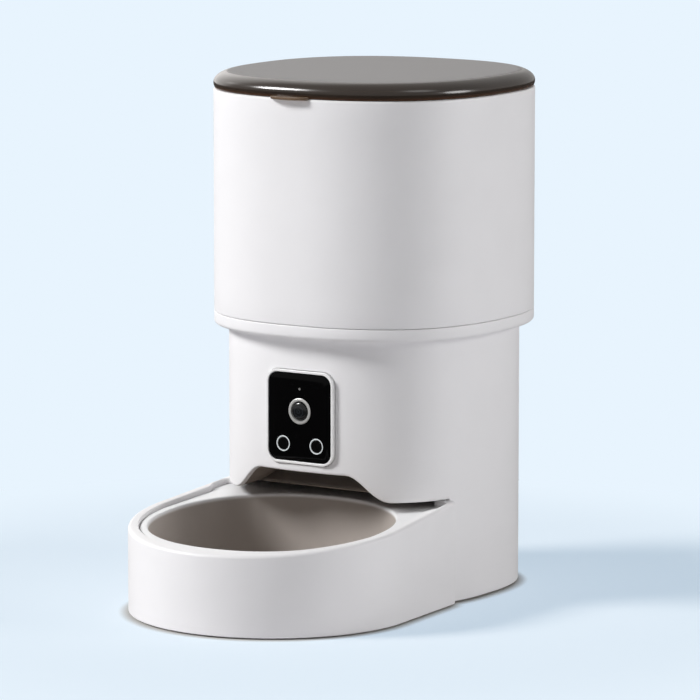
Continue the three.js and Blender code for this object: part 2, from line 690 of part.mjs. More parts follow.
function panelGlass() {
  const through = [glassFront - fit.overrun, glassBack + fit.overrun];
  const holes = buttonPlaces.map(([, x]) => peg(ringRadius + fit.seat, ...through, x, button.height));
  return across(panelOutline(panel.bezel + fit.seat), glassFront, glassBack).subtract(joined([
    ...holes,
    peg(lens.ringOuter + fit.seat, ...through, 0, lens.height, ringSteps),
    peg(dot.radius + fit.seat, ...through, 0, dot.height, smallSteps / 2),
  ]));
}

// A turned form lying front to back: profile pairs are [radius, depth behind the front]
function turned(profile, front, x, z, steps) {
  const points = profile.map(([radius, depth]) => new THREE.Vector2(radius, depth));
  return moved(new THREE.LatheGeometry(points, steps), x, front, z);
}

function lensDome() {
  const radius = lens.ringInner - fit.seat;
  const steps = smallSteps / 4;
  const dome = Array.from({ length: steps + 1 }, (_, i) => {
    const turn = (i / steps) * Math.PI / 2;
    return [radius * Math.sin(turn), -lens.dome * Math.cos(turn)];
  });
  return turned([...dome, [radius, lens.depth], [0, lens.depth]], glassFront, 0, lens.height, ringSteps);
}

function cameraBarrel() {
  const front = lensBack + fit.seat;
  return peg(barrel.neck, front, front + barrel.neckDepth, 0, lens.height)
    .add(peg(barrel.radius, front + barrel.neckDepth, front + barrel.depth, 0, lens.height));
}

function pushButton(x) {
  const flangeFront = glassBack + button.flangeGap;
  return peg(button.radius, buttonFront, buttonBack, x, button.height)
    .add(peg(button.flange, flangeFront, flangeFront + button.flangeThick, x, button.height));
}

function buttonRing(x) {
  const through = [glassFront - fit.overrun, glassBack + fit.overrun];
  return peg(ringRadius, glassFront, glassBack, x, button.height, ringSteps)
    .subtract(peg(button.radius + fit.seat, ...through, x, button.height, ringSteps));
}

function tactSwitch(x) {
  const bodyBack = boardFront - fit.seat;
  const plungerFront = buttonBack + button.travel + fit.seat;
  const housing = block(
    [x - tact.half, x + tact.half],
    [bodyBack - tact.body, bodyBack],
    [button.height - tact.half, button.height + tact.half],
  );
  return housing.add(peg(tact.plunger, plungerFront, bodyBack, x, button.height, smallSteps / 2));
}

function lensRing() {
  const front = glassFront - lens.ringProud;
  return turned([
    [lens.ringInner, 0], [lens.ringOuter - lens.ringProud, 0], [lens.ringOuter, lens.ringProud],
    [lens.ringOuter, lens.ringDepth], [lens.ringInner, lens.ringDepth], [lens.ringInner, 0],
  ], front, 0, lens.height, ringSteps);
}

addPart('panel_bezel', panelBezel(), paints.chrome);
addPart('panel_glass', panelGlass(), paints.blackGlass);
addPart('lens_ring', lensRing(), paints.silver);
addPart('lens', lensDome(), paints.lens);
addPart('camera_barrel', cameraBarrel(), paints.black);
addPart('camera_board', block(
  [-board.halfWidth, board.halfWidth], [boardFront, boardFront + board.thick], [board.low, board.high],
), paints.circuit);
addPart('indicator_window', peg(
  dot.radius, glassFront, glassFront + dot.depth, 0, dot.height, smallSteps / 2,
), paints.light);
for (const [name, x] of buttonPlaces) {
  addPart(`${name}_button`, pushButton(x), paints.blackGlass);
  addPart(`${name}_light_ring`, buttonRing(x), paints.light);
  addPart(`${name}_switch`, tactSwitch(x), paints.black);
}

// Gears with straight-sided teeth. A turn of half a tooth lets a gap face its partner's tooth

function toothedOutline(teeth, turnShare) {
  const pitch = 2 * Math.PI / teeth;
  const middle = gear.tooth * teeth / 2;
  const tip = middle + gear.tooth * gear.addendumShare;
  const root = middle - gear.tooth * gear.dedendumShare;
  return Array.from({ length: teeth }, (_, i) => i).flatMap((i) => (
    [[-toothShares.root, root], [-toothShares.tip, tip], [toothShares.tip, tip], [toothShares.root, root]]
      .map(([share, radius]) => {
        const turn = (i + turnShare + share) * pitch;
        return new THREE.Vector2(radius * Math.cos(turn), radius * Math.sin(turn));
      })
  ));
}

function driveGear() {
  const high = gear.driveLow + gear.driveThick;
  return joined([
    slab(toothedOutline(gear.driveTeeth, 0), gear.driveLow, high),
    post(gear.shaftEnd, bracket.low, gear.driveLow + fit.seat),
    post(gear.shaft, high - fit.seat, deckTop + fit.overrun),
    slab(hexagon(coupling.radius), deckTop + fit.overrun - fit.seat, coupling.top),
  ]);
}

function idlerGear() {
  const pinionTop = gear.driveLow + gear.driveThick;
  return joined([
    slab(toothedOutline(gear.wheelTeeth, 0), gear.wheelLow, gear.wheelLow + gear.wheelThick),
    slab(toothedOutline(gear.pinionTeeth, 1 / 2), gear.wheelLow, pinionTop),
  ]).subtract(post(pin.radius + fit.seat, gear.wheelLow - fit.overrun, pinionTop + fit.overrun));
}

function motorPinion() {
  const high = gear.wheelLow + gear.pinionThick;
  return slab(toothedOutline(gear.pinionTeeth, 1 / 2), gear.wheelLow, high)
    .subtract(post(motor.shaft + fit.seat, gear.wheelLow - fit.overrun, high + fit.overrun));
}

function gearBracket() {
  const postPlaces = [-1, 1].flatMap((side) => [
    [side * (bracket.halfWidth - bracket.inset), bracket.front + bracket.inset],
    [side * (bracket.halfWidth - bracket.inset), bracket.rear - bracket.inset],
  ]);
  const holes = [[gear.shaftEnd + fit.seat, 0], [pin.radius + fit.seat, idlerY], [motor.hole, motorY]];
  return joined([
    block([-bracket.halfWidth, bracket.halfWidth], [bracket.front, bracket.rear], [bracket.low, bracketTop]),
    ...postPlaces.map(([x, y]) => post(bracket.post, bracketTop - fit.seat, deckLow - fit.seat, x, y)),
  ]).subtract(joined(holes.map(([radius, y]) => (
    post(radius, bracket.low - fit.overrun, bracketTop + fit.overrun, 0, y)
  )))).intersect(slab(bodyRing(body.wall + fit.slide), bracket.low, deckLow));
}

function driveMotor() {
  const high = bracket.low - fit.seat;
  return joined([
    post(motor.radius, high - motor.length, high, 0, 0, ringSteps),
    post(motor.neck, high - fit.seat, high + motor.neckLength),
    post(motor.shaft, high, gear.wheelLow + gear.pinionThick, 0, 0, smallSteps / 2),
  ]);
}

function shaftBush() {
  const low = deckLow - bush.drop;
  const flangeLow = deckTop + fit.seat;
  return post(coupling.floorHole - fit.seat, low, flangeLow + bush.flangeThick)
    .add(post(bush.flange, flangeLow, flangeLow + bush.flangeThick))
    .subtract(post(gear.shaft + fit.seat, low - fit.overrun, flangeLow + bush.flangeThick + fit.overrun));
}

addPart('drive_gear', driveGear(), paints.gear);
addPart('idler_gear', idlerGear(), paints.gear, 0, idlerY);
addPart('motor_pinion', motorPinion(), paints.brass, 0, motorY);
addPart('gear_bracket', gearBracket(), paints.black);
addPart('idler_pin', post(pin.radius, bracket.low, pin.top), paints.steel, 0, idlerY);
addPart('motor', driveMotor(), paints.steel, 0, motorY);
addPart('shaft_bush', shaftBush(), paints.brass);

// Electronics at the back: main board, speaker and inlet

function powerInlet() {
  const rear = body.halfDepth - inlet.sunk - fit.seat;
  return block(
    [inlet.x - inlet.halfWidth, inlet.x + inlet.halfWidth],
    [rear - inlet.depth, rear - body.wall],
    [inlet.height - inlet.halfHeight, inlet.height + inlet.halfHeight],
  ).add(peg(inlet.halfHeight, rear - body.wall - fit.seat, rear - body.wall / 2, inlet.x, inlet.height))
    .subtract(peg(inlet.bore, rear - inlet.boreDepth, rear + fit.overrun, inlet.x, inlet.height));
}

addPart('main_board', block(
  [-mainBoard.halfWidth, mainBoard.halfWidth],
  [boardFace, boardFace + mainBoard.thick],
  [mainBoard.low, mainBoard.high],
), paints.circuit);
addPart('speaker', peg(
  speaker.radius, speakerFace, speakerFace + speaker.depth, speaker.x, speaker.height,
), paints.black);
addPart('power_inlet', powerInlet(), paints.black);

// Battery holder, cells, contacts and door

const cellPlaces = [-1, 0, 1].map((place) => place * cell.pitch);
const holderBottom = plateTop + fit.seat;

function batteryHolder() {
  const outerX = holderHalf + holder.wall;
  return block(
    [-outerX, outerX],
    [holderFront - holder.end, holderRear + holder.end],
    [holderBottom, holderRoof + holder.roof],
  ).subtract(block(...doorOutline(0), [holderBottom - fit.overrun, holderRoof]));
}

function batteryCell() {
  const nubFront = cellFront;
  const bodyFront = cellFront + cell.nubLength;
  return peg(cell.radius, bodyFront, bodyFront + cell.length, 0, cell.height)
    .add(peg(cell.nub, nubFront, bodyFront + fit.seat, 0, cell.height, smallSteps / 2));
}

function contactStrip(front) {
  const half = cell.pitch + cell.radius / 2;
  return block([-half, half], [front, front + holder.contact],
    [cell.height - cell.radius / 2, cell.height + cell.radius / 2]);
}

function doorOutline(grow) {
  return [[-holderHalf - grow, holderHalf + grow], [holderFront - grow, holderRear + grow]];
}

addPart('battery_holder', batteryHolder(), paints.black);
cellPlaces.forEach((x, i) => addPart(`battery_cell_${i + 1}`, batteryCell(), paints.cellWrap, x));
addPart('contact_front', contactStrip(holderFront + fit.seat), paints.steel);
addPart('contact_rear', contactStrip(cellRear + fit.seat), paints.steel);
addPart('battery_door', block(...doorOutline(0), [body.bottom, plateTop - fit.seat]), paints.white);

// Base plate, its screws and feet

function basePlate() {
  const ahead = [[-body.halfWidth, body.halfWidth], [-body.halfDepth, arch.seam + fit.seat]];
  const sinks = screwPlaces.map(([x, y]) => joined([
    post(screw.hole, body.bottom - fit.overrun, plateTop + fit.overrun, x, y, smallSteps / 2),
    post(screw.head + fit.seat, body.bottom - fit.overrun, body.bottom + screw.sinkDepth, x, y),
  ]));
  return slab(bodyRing(body.wall + fit.seat), body.bottom, plateTop)
    .subtract(block(...ahead, [0, plateTop + fit.overrun]))
    .subtract(block(...doorOutline(fit.seat), [0, plateTop + fit.overrun]))
    .subtract(joined(sinks));
}

function baseScrew() {
  const headTop = body.bottom + screw.sinkDepth - fit.seat;
  return post(screw.head, headTop - screw.headThick, headTop, 0, 0, smallSteps / 2)
    .add(post(screw.shank, headTop - fit.seat, headTop + screw.length, 0, 0, smallSteps / 2));
}

addPart('base_plate', basePlate(), paints.white);
screwPlaces.forEach(([x, y], i) => addPart(`base_screw_${i + 1}`, baseScrew(), paints.steel, x, y));
const footPlaces = [
  [body.halfWidth - foot.frontSideGap, arch.seam + foot.seamGap],
  [body.halfWidth - foot.rearSideGap, body.halfDepth - foot.rearGap],
];
footPlaces.forEach(([x, y], row) => {
  [-x, x].forEach((sideX, side) => {
    addPart(`foot_${2 * row + side + 1}`, post(foot.radius, 0, foot.height), paints.rubber, sideX, y);
  });
});

// Tray and bowl: outlines from the rear corners past the waist to the rounded nose, mirrored

function trayOutline({ inset, waist, rear, corner, stepRear, stepFront }) {
  const half = trayHalf - inset;
  const reach = tray.noseReach - inset;
  const quarter = smallSteps / 4;
  const sideX = (y) => half - tray.taper * (y - tray.noseStart);
  const rearEdge = Array.from({ length: quarter }, (_, i) => [(waist - corner) * (i + 0.5) / quarter, rear]);
  const arc = Array.from({ length: quarter + 1 }, (_, i) => {
    const turn = (1 - i / quarter) * Math.PI / 2;
    return [waist - corner + corner * Math.cos(turn), rear - corner + corner * Math.sin(turn)];
  });
  const flank = [0.35, 0.7].map((share) => [waist, rear - corner + share * (stepRear - rear + corner)]);
  const step = Array.from({ length: quarter + 1 }, (_, i) => {
    const share = i / quarter;
    const y = stepRear + share * (stepFront - stepRear);
    return [waist + (1 - Math.cos(Math.PI * share)) / 2 * (sideX(y) - waist), y];
  });
  const noseSteps = smallSteps * 3 / 4;
  const nose = Array.from({ length: noseSteps }, (_, i) => {
    const turn = i / noseSteps * Math.PI / 2;
    const depth = reach * power(Math.sin(turn), tray.nosePower);
    return [half * power(Math.cos(turn), tray.nosePower), tray.noseStart - depth];
  });
  const right = [...rearEdge, ...arc, ...flank, ...step, ...nose];
  const tip = [0, tray.noseStart - reach];
  const left = right.map(([x, y]) => [-x, y]).reverse();
  return [...right, tip, ...left].reverse().map(([x, y]) => new THREE.Vector2(x, y));
}

const sloped = (start, rise, offset = 0) => (y) => (
  start + offset + rise * (Math.min(Math.max(y, tray.riseFrom), tray.riseTo) - tray.riseFrom)
);
const rim = (offset) => sloped(tray.rimStart, tray.rise, offset);
const lip = (offset) => sloped(bowl.lip, bowl.rise, offset);

const trayRing = (inset) => trayOutline({
  inset,
  waist: trayWaist - inset,
  rear: trayRear - inset,
  corner: tray.corner,
  stepRear: traySeam,
  stepFront: traySeam,
});
const cavityRing = (inset) => trayOutline({
  inset: tray.rimWidth + inset,
  waist: trayWaist - cavity.sideWall - inset,
  rear: trayRear - cavity.rearWall - inset,
  corner: cavity.corner,
  stepRear: cavity.stepRear,
  stepFront: cavity.stepFront,
});
const trayMiddle = new THREE.Vector2(0, tray.noseStart);

function trayTub() {
  const outside = cappedSkin([
    [trayRing(tray.inset), tray.bottom],
    [trayRing(0), tray.bottom + tray.inset],
    [trayRing(0), rim(0)],
    [trayRing(tray.inset), rim(tray.crest - tray.inset)],
    [trayRing(tray.crest), rim(tray.crest)],
  ], trayMiddle);
  const hollow = cappedSkin([
    [cavityRing(0), tray.bottom + tray.floor],
    [cavityRing(0), rim(tray.crest - tray.inset)],
    [cavityRing(-tray.inset), rim(tray.crest)],
    [cavityRing(-tray.inset), rim(tray.crest + fit.overrun)],
  ], trayMiddle);
  const underTongue = block(
    [-body.halfWidth, body.halfWidth], [traySeam - fit.seat, trayRear + fit.overrun], [0, tray.tongueFloor],
  );
  const tongueFloor = block(
    [cavity.sideWall - trayWaist, trayWaist - cavity.sideWall],
    [traySeam - tray.floor, trayRear - tray.corner],
    [tray.bottom, tray.tongueFloor + tray.floor],
  );
  return outside.subtract(hollow).add(tongueFloor).subtract(underTongue);
}

const bowlRing = (inset) => cavityRing(bowl.groove + inset);

// The basin's oval, with a point in the direction of each point of the rim
const basinRing = (inset) => bowlRing(0).map((point) => {
  const across = point.x / basin.halfWidth;
  const along = (point.y - basin.centre) / basin.halfDepth;
  const reach = (Math.abs(across) ** basin.power + Math.abs(along) ** basin.power) ** (-1 / basin.power);
  return new THREE.Vector2(
    (basin.halfWidth - inset) * across * reach,
    basin.centre + (basin.halfDepth - inset) * along * reach,
  );
});

function bowlInsert() {
  const low = tray.bottom + tray.floor + fit.seat;
  return cappedSkin([
    [basinRing(bowl.footInset), low],
    [basinRing(bowl.turnInset), low + bowl.turnRise],
    [basinRing(bowl.bellyInset), low + bowl.bellyHeight],
    [basinRing(-bowl.wall), lip(-bowl.lipDrop)],
    [bowlRing(0), lip(-bowl.lipDrop)],
    [bowlRing(0), lip(-bowl.lipRound)],
    [bowlRing(bowl.lipRound), lip(0)],
    [basinRing(-basin.round / 2), lip(0)],
    [basinRing(basin.round / 2), lip(-basin.round)],
    [basinRing(bowl.bellyInset + bowl.wall), low + bowl.bellyHeight + bowl.floor / 2],
    [basinRing(bowl.turnInset + bowl.wall), low + bowl.turnRise + bowl.floor],
    [basinRing(bowl.footInset + bowl.wall), low + bowl.floor],
  ], new THREE.Vector2(0, basin.centre));
}

addPart('tray', trayTub(), paints.white);
addPart('bowl', bowlInsert(), paints.white);
[['nose', pad.noseY, pad.noseHalf], ['rear', pad.rearY, pad.rearHalf]].forEach(([name, y, half]) => {
  const depth = [y - pad.depth / 2, y + pad.depth / 2];
  addPart(`tray_pad_${name}`, block([-half, half], depth, [0, pad.height]), paints.rubber);
});

feeder.position.y = frameShift;

const wholeFeeder = new THREE.Group();
wholeFeeder.add(feeder);

export default wholeFeeder;
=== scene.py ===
"""Dresses the camera pet feeder: smooth white mouldings, a smoky lid and a polished camera panel.

Every size is in metres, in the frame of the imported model. The camera looks as the photograph does.
"""
import json
import logging
import math
from dataclasses import dataclass, field
from enum import Enum
from typing import Callable, Sequence

import bmesh
import bpy
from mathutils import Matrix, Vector


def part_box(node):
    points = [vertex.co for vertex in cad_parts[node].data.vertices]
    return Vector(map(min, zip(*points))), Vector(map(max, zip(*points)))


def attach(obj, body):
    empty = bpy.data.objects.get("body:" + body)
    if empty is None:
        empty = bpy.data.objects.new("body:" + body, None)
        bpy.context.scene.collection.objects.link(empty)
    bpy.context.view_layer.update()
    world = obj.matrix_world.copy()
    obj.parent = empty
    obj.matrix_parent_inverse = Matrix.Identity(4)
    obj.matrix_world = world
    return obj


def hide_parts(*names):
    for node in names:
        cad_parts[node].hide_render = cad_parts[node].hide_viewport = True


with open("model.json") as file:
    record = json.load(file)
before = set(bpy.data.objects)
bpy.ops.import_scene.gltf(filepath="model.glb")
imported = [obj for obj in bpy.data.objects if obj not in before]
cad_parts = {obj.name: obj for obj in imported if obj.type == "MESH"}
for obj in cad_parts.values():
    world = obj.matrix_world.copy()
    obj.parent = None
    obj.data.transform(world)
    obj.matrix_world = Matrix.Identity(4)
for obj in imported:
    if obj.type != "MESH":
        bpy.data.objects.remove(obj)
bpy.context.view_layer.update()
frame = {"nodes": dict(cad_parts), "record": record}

MM = 0.001
LOG = logging.getLogger("feeder")
SPREAD = 0.12  # evens out the spacing of points round a rounded square
CRISP_DEG = 32.0  # edges sharper than this stay crisp
SAME = 0.002 * MM  # points nearer than this are one point
SMOKE_IOR = 1.58  # polycarbonate
AIM = Vector((0, 0, 0.15))  # what the lamps face

Point = tuple[float, float]
Ring = list[Point]
Rule = Callable[[float, float], float]
Station = tuple[Ring, float | Rule]
Rows = list[list[Vector]]
Socket = bpy.types.NodeSocket
Piece = bpy.types.Object


# Materials


def linear(colour: str) -> tuple[float, float, float, float]:
    """Turns an sRGB hex colour into linear light with an alpha of 1."""
    parts = [int(colour[place:place + 2], 16) / 255 for place in (0, 2, 4)]
    return (*[part / 12.92 if part <= 0.04045 else ((part + 0.055) / 1.055) ** 2.4 for part in parts], 1.0)


@dataclass
class Graph:
    """A node tree, with a short way to add each kind of node that is used often."""

    tree: bpy.types.NodeTree

    @classmethod
    def of(cls, owner: bpy.types.ID) -> "Graph":
        """Empties the node tree of a material or world and takes it.

        Args:
            owner: the material or world.

        Returns:
            The graph.
        """
        owner.use_nodes = True
        owner.node_tree.nodes.clear()
        return cls(owner.node_tree)

    def add(self, kind: str, links: dict | None = None, **settings) -> bpy.types.Node:
        """Adds one node with its settings, input values and links.

        Args:
            kind: the node's type name.
            links: input name or number to an output socket or a plain value.
            settings: the node's own properties.

        Returns:
            The new node.
        """
        node = self.tree.nodes.new(kind)
        for name, value in settings.items():
            setattr(node, name, value)
        for name, value in (links or {}).items():
            if isinstance(value, Socket):
                self.tree.links.new(value, node.inputs[name])
            else:
                node.inputs[name].default_value = value
        return node

    def place(self) -> Socket:
        """Gives the place on the object, in its own frame."""
        return self.add("ShaderNodeTexCoord").outputs["Object"]

    def maths(self, operation: str, *values: Socket | float) -> Socket:
        """Works on numbers and gives the result."""
        return self.add("ShaderNodeMath", dict(enumerate(values)), operation=operation).outputs[0]

    def vectors(self, operation: str, *values: Socket | Sequence[float]) -> Socket:
        """Works on vectors and gives the result, a number for a length or a dot product."""
        port = "Value" if operation in ("LENGTH", "DOT_PRODUCT") else "Vector"
        return self.add("ShaderNodeVectorMath", dict(enumerate(values)), operation=operation).outputs[port]

    def ramp(
        self, value: Socket, start: float, end: float, low: float = 0.0, high: float = 1.0, smooth: bool = False,
    ) -> Socket:
        """Maps a number from the range start to end to the range low to high, smoothly or in a straight line."""
        return self.add("ShaderNodeMapRange", {
            "Value": value, "From Min": start, "From Max": end, "To Min": low, "To Max": high,
        }, interpolation_type="SMOOTHSTEP" if smooth else "LINEAR").outputs["Result"]

    def blend(self, share: Socket, first: Socket | Sequence[float], second: Sequence[float]) -> Socket:
        """Blends two colours by a share."""
        links = {"Factor": share, "A": first, "B": second}
        return self.add("ShaderNodeMix", links, data_type="RGBA").outputs["Result"]

    def noise(self, place: Socket, size_mm: float, detail: float = 2.0) -> Socket:
        """Gives a noise of a size in millimetres."""
        return self.add("ShaderNodeTexNoise", {
            "Vector": place, "Scale": 1 / (size_mm * MM), "Detail": detail,
        }).outputs["Fac"]

    def bump(self, height: Socket, depth_mm: float) -> Socket:
        """Gives the normals of a fine relief."""
        return self.add("ShaderNodeBump", {
            "Height": height, "Distance": depth_mm * MM, "Strength": 1.0,
        }).outputs["Normal"]

    def shader(self, kind: str, **links: Socket | float | Sequence[float]) -> Socket:
        """Adds a shader of a kind, such as Emission, and gives its output."""
        return self.add(f"ShaderNode{kind}", links).outputs[0]

    def mixed(self, share: Socket, first: Socket, second: Socket) -> Socket:
        """Mixes two shaders by a share."""
        return self.add("ShaderNodeMixShader", {0: share, 1: first, 2: second}).outputs[0]

    def mirrored(self, path: bpy.types.Node) -> Socket:
        """Gives 1 for a ray that left a glossy or clear face."""
        return self.maths("MAXIMUM", path.outputs["Is Glossy Ray"], path.outputs["Is Transmission Ray"])

    def plastic(self, links: dict) -> None:
        """Ends a material in a principled shader with these inputs."""
        surface = self.add("ShaderNodeBsdfPrincipled", links).outputs["BSDF"]
        self.add("ShaderNodeOutputMaterial", {"Surface": surface})


class Surface:
    """A surface whose material is made once; each kind of surface says how it is painted."""

    name: str
    slot: str

    def paint(self, graph: Graph) -> None:
        """Adds the surface's nodes to an empty tree."""
        raise NotImplementedError

    def build(self) -> bpy.types.Material:
        """Makes the material, or hands back the one that was made before.

        Returns:
            The Blender material.
        """
        made = bpy.data.materials.get(self.name)
        if not made:
            made = bpy.data.materials.new(self.name)
            self.paint(Graph.of(made))
        return made


@dataclass(frozen=True)
class Finish(Surface):
    """A moulded, turned or polished surface with a fine grain."""

    name: str
    slot: str
    colour: str
    deep: str  # the colour that slow variation drifts towards
    roughness: float
    metallic: float = 0.0
    grain_mm: float = 0.5
    grain_depth_mm: float = 0.01
    coat: float = 0.0
    transmission: float = 0.0
    ior: float = 1.5
    glow: float = 0.0
    specular: float = 0.5
    drift_mm: float = 60.0  # how far apart the slow changes of tone lie
    drift: float = 0.5  # how strong they are
    smear: float = 0.04  # how much the roughness changes with them

    def paint(self, graph: Graph) -> None:
        """Paints a slow drift of tone and gloss, with a fine grain.

        Args:
            graph: the empty tree.
        """
        place, colour = graph.place(), linear(self.colour)
        slow, smear = graph.noise(place, self.drift_mm), self.smear
        links = {
            "Base Color": graph.blend(graph.ramp(slow, 0.35, 0.65, 0.0, self.drift), colour, linear(self.deep)),
            "Roughness": graph.ramp(slow, 0.3, 0.7, max(self.roughness - smear, 0.02), self.roughness + smear),
            "Normal": graph.bump(graph.noise(place, self.grain_mm, 3.0), self.grain_depth_mm),
            "Metallic": self.metallic, "IOR": self.ior, "Coat Weight": self.coat, "Coat Roughness": 0.04,
            "Transmission Weight": self.transmission, "Emission Strength": self.glow,
            "Specular IOR Level": self.specular,
        }
        if self.glow:
            links["Emission Color"] = colour
        graph.plastic(links)


# ABS moulded in a spark-eroded tool: white, soft sheen, a grain finer than a pixel
WHITE = Finish("white_abs_spark_eroded", "white_abs", "f4f3f4", "eeedee", 0.46, grain_mm=0.45, grain_depth_mm=0.012)
# The same plastic on inner faces, where the tool is smoother and the part a little duller
INNER = Finish("white_abs_inner_faces", "inner_abs", "e6e6e4", "dcdcda", 0.5, grain_mm=0.8, grain_depth_mm=0.02)
# The liner of the bowl's recess: the same white plastic with shade painted on as a warm grey, so the recess reads as
# shade
LINER_WITH_PAINTED_SHADE = Finish("white_abs_liner_painted_shade", "inner_abs", "8c837c", "81786f", 0.55, grain_mm=0.8, grain_depth_mm=0.02)
# Polished black acrylic over the camera, with clear reflections, and a little softer on the push buttons
GLASS = Finish(
    "black_acrylic_polished", "panel_glass", "040405", "060607", 0.06, grain_mm=6, grain_depth_mm=0.0005, specular=0.1,
)
BUTTON = Finish(
    "black_acrylic_button", "panel_glass", "060607", "08080a", 0.1, grain_mm=4, grain_depth_mm=0.0005, specular=0.25,
)
# Chrome plate on the bezel
CHROME = Finish("satin_chrome_plated_abs", "chrome", "ffffff", "fafafa", 0.4, 0.2, grain_mm=1, grain_depth_mm=0.0008)
# Satin anodised ring round the lens
SILVER = Finish(
    "anodised_aluminium_turned", "silver", "e4e4e2", "d8d8d6", 0.34, 0.6, grain_mm=0.3, grain_depth_mm=0.003,
)
# Moulded black ABS inside the lens well and on small housings
BLACK = Finish("black_abs_moulded", "black_plastic", "17171a", "101012", 0.5, grain_mm=0.5, grain_depth_mm=0.02)
# Milky acrylic that the ring lights shine through
LIGHT = Finish("milky_acrylic_light_guide", "light_pipe", "dfe4e6", "d4dadd", 0.3, glow=0.25)
# Smoked acrylic over the status light, unlit
UNLIT = Finish("smoked_acrylic_window", "light_pipe", "8d8c8a", "7f7e7c", 0.3)
# Silicone: soft and dull
SEAL = Finish("silicone_seal", "seal", "d6d6d2", "c8c8c4", 0.6, grain_mm=0.7, grain_depth_mm=0.02)
SOFT = Finish("grey_silicone_moulded", "soft_grey", "8b8e91", "7d8083", 0.62, grain_mm=0.6, grain_depth_mm=0.03)
# Solder mask over a woven board
BOARD = Finish("green_solder_mask", "circuit", "1d5c39", "174c2f", 0.35, grain_mm=1.2, grain_depth_mm=0.03, coat=0.4)
# Acetal gears, waxy and slightly warm
GEAR = Finish("natural_acetal_moulded", "gear_nylon", "ebe8de", "e0dccf", 0.4, grain_mm=1, grain_depth_mm=0.01)
STEEL = Finish("zinc_plated_steel", "steel", "a9abae", "96989b", 0.3, 1, grain_mm=0.4, grain_depth_mm=0.006)
BRASS = Finish("turned_brass", "brass", "b99a52", "a58742", 0.28, 1, grain_mm=0.3, grain_depth_mm=0.005)
RUBBER = Finish("black_rubber_moulded", "rubber", "242426", "1b1b1d", 0.8, grain_mm=0.5, grain_depth_mm=0.04)
WRAP = Finish("shrink_sleeve_plain", "cell_wrap", "2c4b78", "243f68", 0.3, grain_mm=2, grain_depth_mm=0.004, coat=0.5)
# The lid's polycarbonate where it is thin enough to look bronze
THIN_SMOKE = Finish(
    "smoky_polycarbonate_thin", "smoke_lid", "a08468", "8c7058", 0.16, grain_mm=4, grain_depth_mm=0.001,
    transmission=0.55, ior=SMOKE_IOR,
)
# The finish of each slot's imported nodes; those of the lid's and the lens's slots lie inside and are black
BY_SLOT = {made.slot: made for made in (
    WHITE, INNER, SEAL, CHROME, SILVER, BLACK, LIGHT, BOARD, GEAR, STEEL, BRASS, RUBBER, WRAP, SOFT, GLASS,
)} | {"smoke_lid": BLACK, "lens_glass": BLACK}


@dataclass(frozen=True)
class SmokyLid(Surface):
    """Smoky polycarbonate: a glossy dark rim, and a top that was sand-blasted in the tool to a fine matte."""

    top: float  # the height of the matte top
    low: float  # the height of the rim's lower edge
    name: str = "smoky_polycarbonate_moulded"
    slot: str = "smoke_lid"
    dark: str = "2d241d"
    matte: str = "8a8888"
    warm: str = "4a2f1c"
    gloss: float = 0.2
    satin: float = 0.62
    grit_mm: float = 0.5
    grit_depth_mm: float = 0.03
    fade: tuple[float, float] = (0.5 * MM, 0.1 * MM)  # how far below the top the matte starts and is full
    thin: float = 2.4 * MM  # how high the warm lower edge reaches

    def paint(self, graph: Graph) -> None:
        """Paints by height: a bronze edge, a dark rim and the matte top.

        Args:
            graph: the empty tree.
        """
        place = graph.place()
        height = graph.add("ShaderNodeSeparateXYZ", {"Vector": place}).outputs["Z"]
        flat = graph.ramp(height, *[self.top - deep for deep in self.fade])
        edge = graph.ramp(height, self.low, self.low + self.thin, 1.0, 0.0)
        rim = graph.blend(edge, linear(self.dark), linear(self.warm))
        graph.plastic({
            "Base Color": graph.blend(flat, rim, linear(self.matte)),
            "Roughness": graph.ramp(flat, 0.0, 1.0, self.gloss, self.satin),
            "Normal": graph.bump(graph.maths("MULTIPLY", graph.noise(place, self.grit_mm), flat), self.grit_depth_mm),
            "IOR": SMOKE_IOR,
        })


@dataclass(frozen=True)
class BowlWithPaintedShade(Surface):
    """The bowl's white plastic: white on the flange, and shade painted as a warm grey in the basin."""

    lip: float  # the flange's height at the depth where y is 0
    rise: float  # how much it climbs per metre towards the rear
    name: str = "white_abs_bowl_painted_shade"
    slot: str = "white_abs"
    pale: str = "f3f3f4"
    # warm is the colour of the shade painted into the basin
    warm: str = "b3aba5"
    fade: tuple[float, float] = (3.2 * MM, 0.9 * MM)  # how far below the flange the warm tone is full and starts
    roughness: float = 0.46
    grit_mm: float = 0.5
    grit_depth_mm: float = 0.012

    def paint(self, graph: Graph) -> None:
        """Paints shade into the basin by the depth below the flange.

        Args:
            graph: the empty tree.
        """
        place = graph.place()
        parts = graph.add("ShaderNodeSeparateXYZ", {"Vector": place}).outputs
        level = graph.maths("SUBTRACT", parts["Z"], graph.maths("MULTIPLY", parts["Y"], self.rise))
        below = graph.ramp(level, *[self.lip - deep for deep in self.fade], 1.0, 0.0, smooth=True)
        graph.plastic({
            "Base Color": graph.blend(below, linear(self.pale), linear(self.warm)),
            "Roughness": self.roughness,
            "Normal": graph.bump(graph.noise(place, self.grit_mm), self.grit_depth_mm),
        })


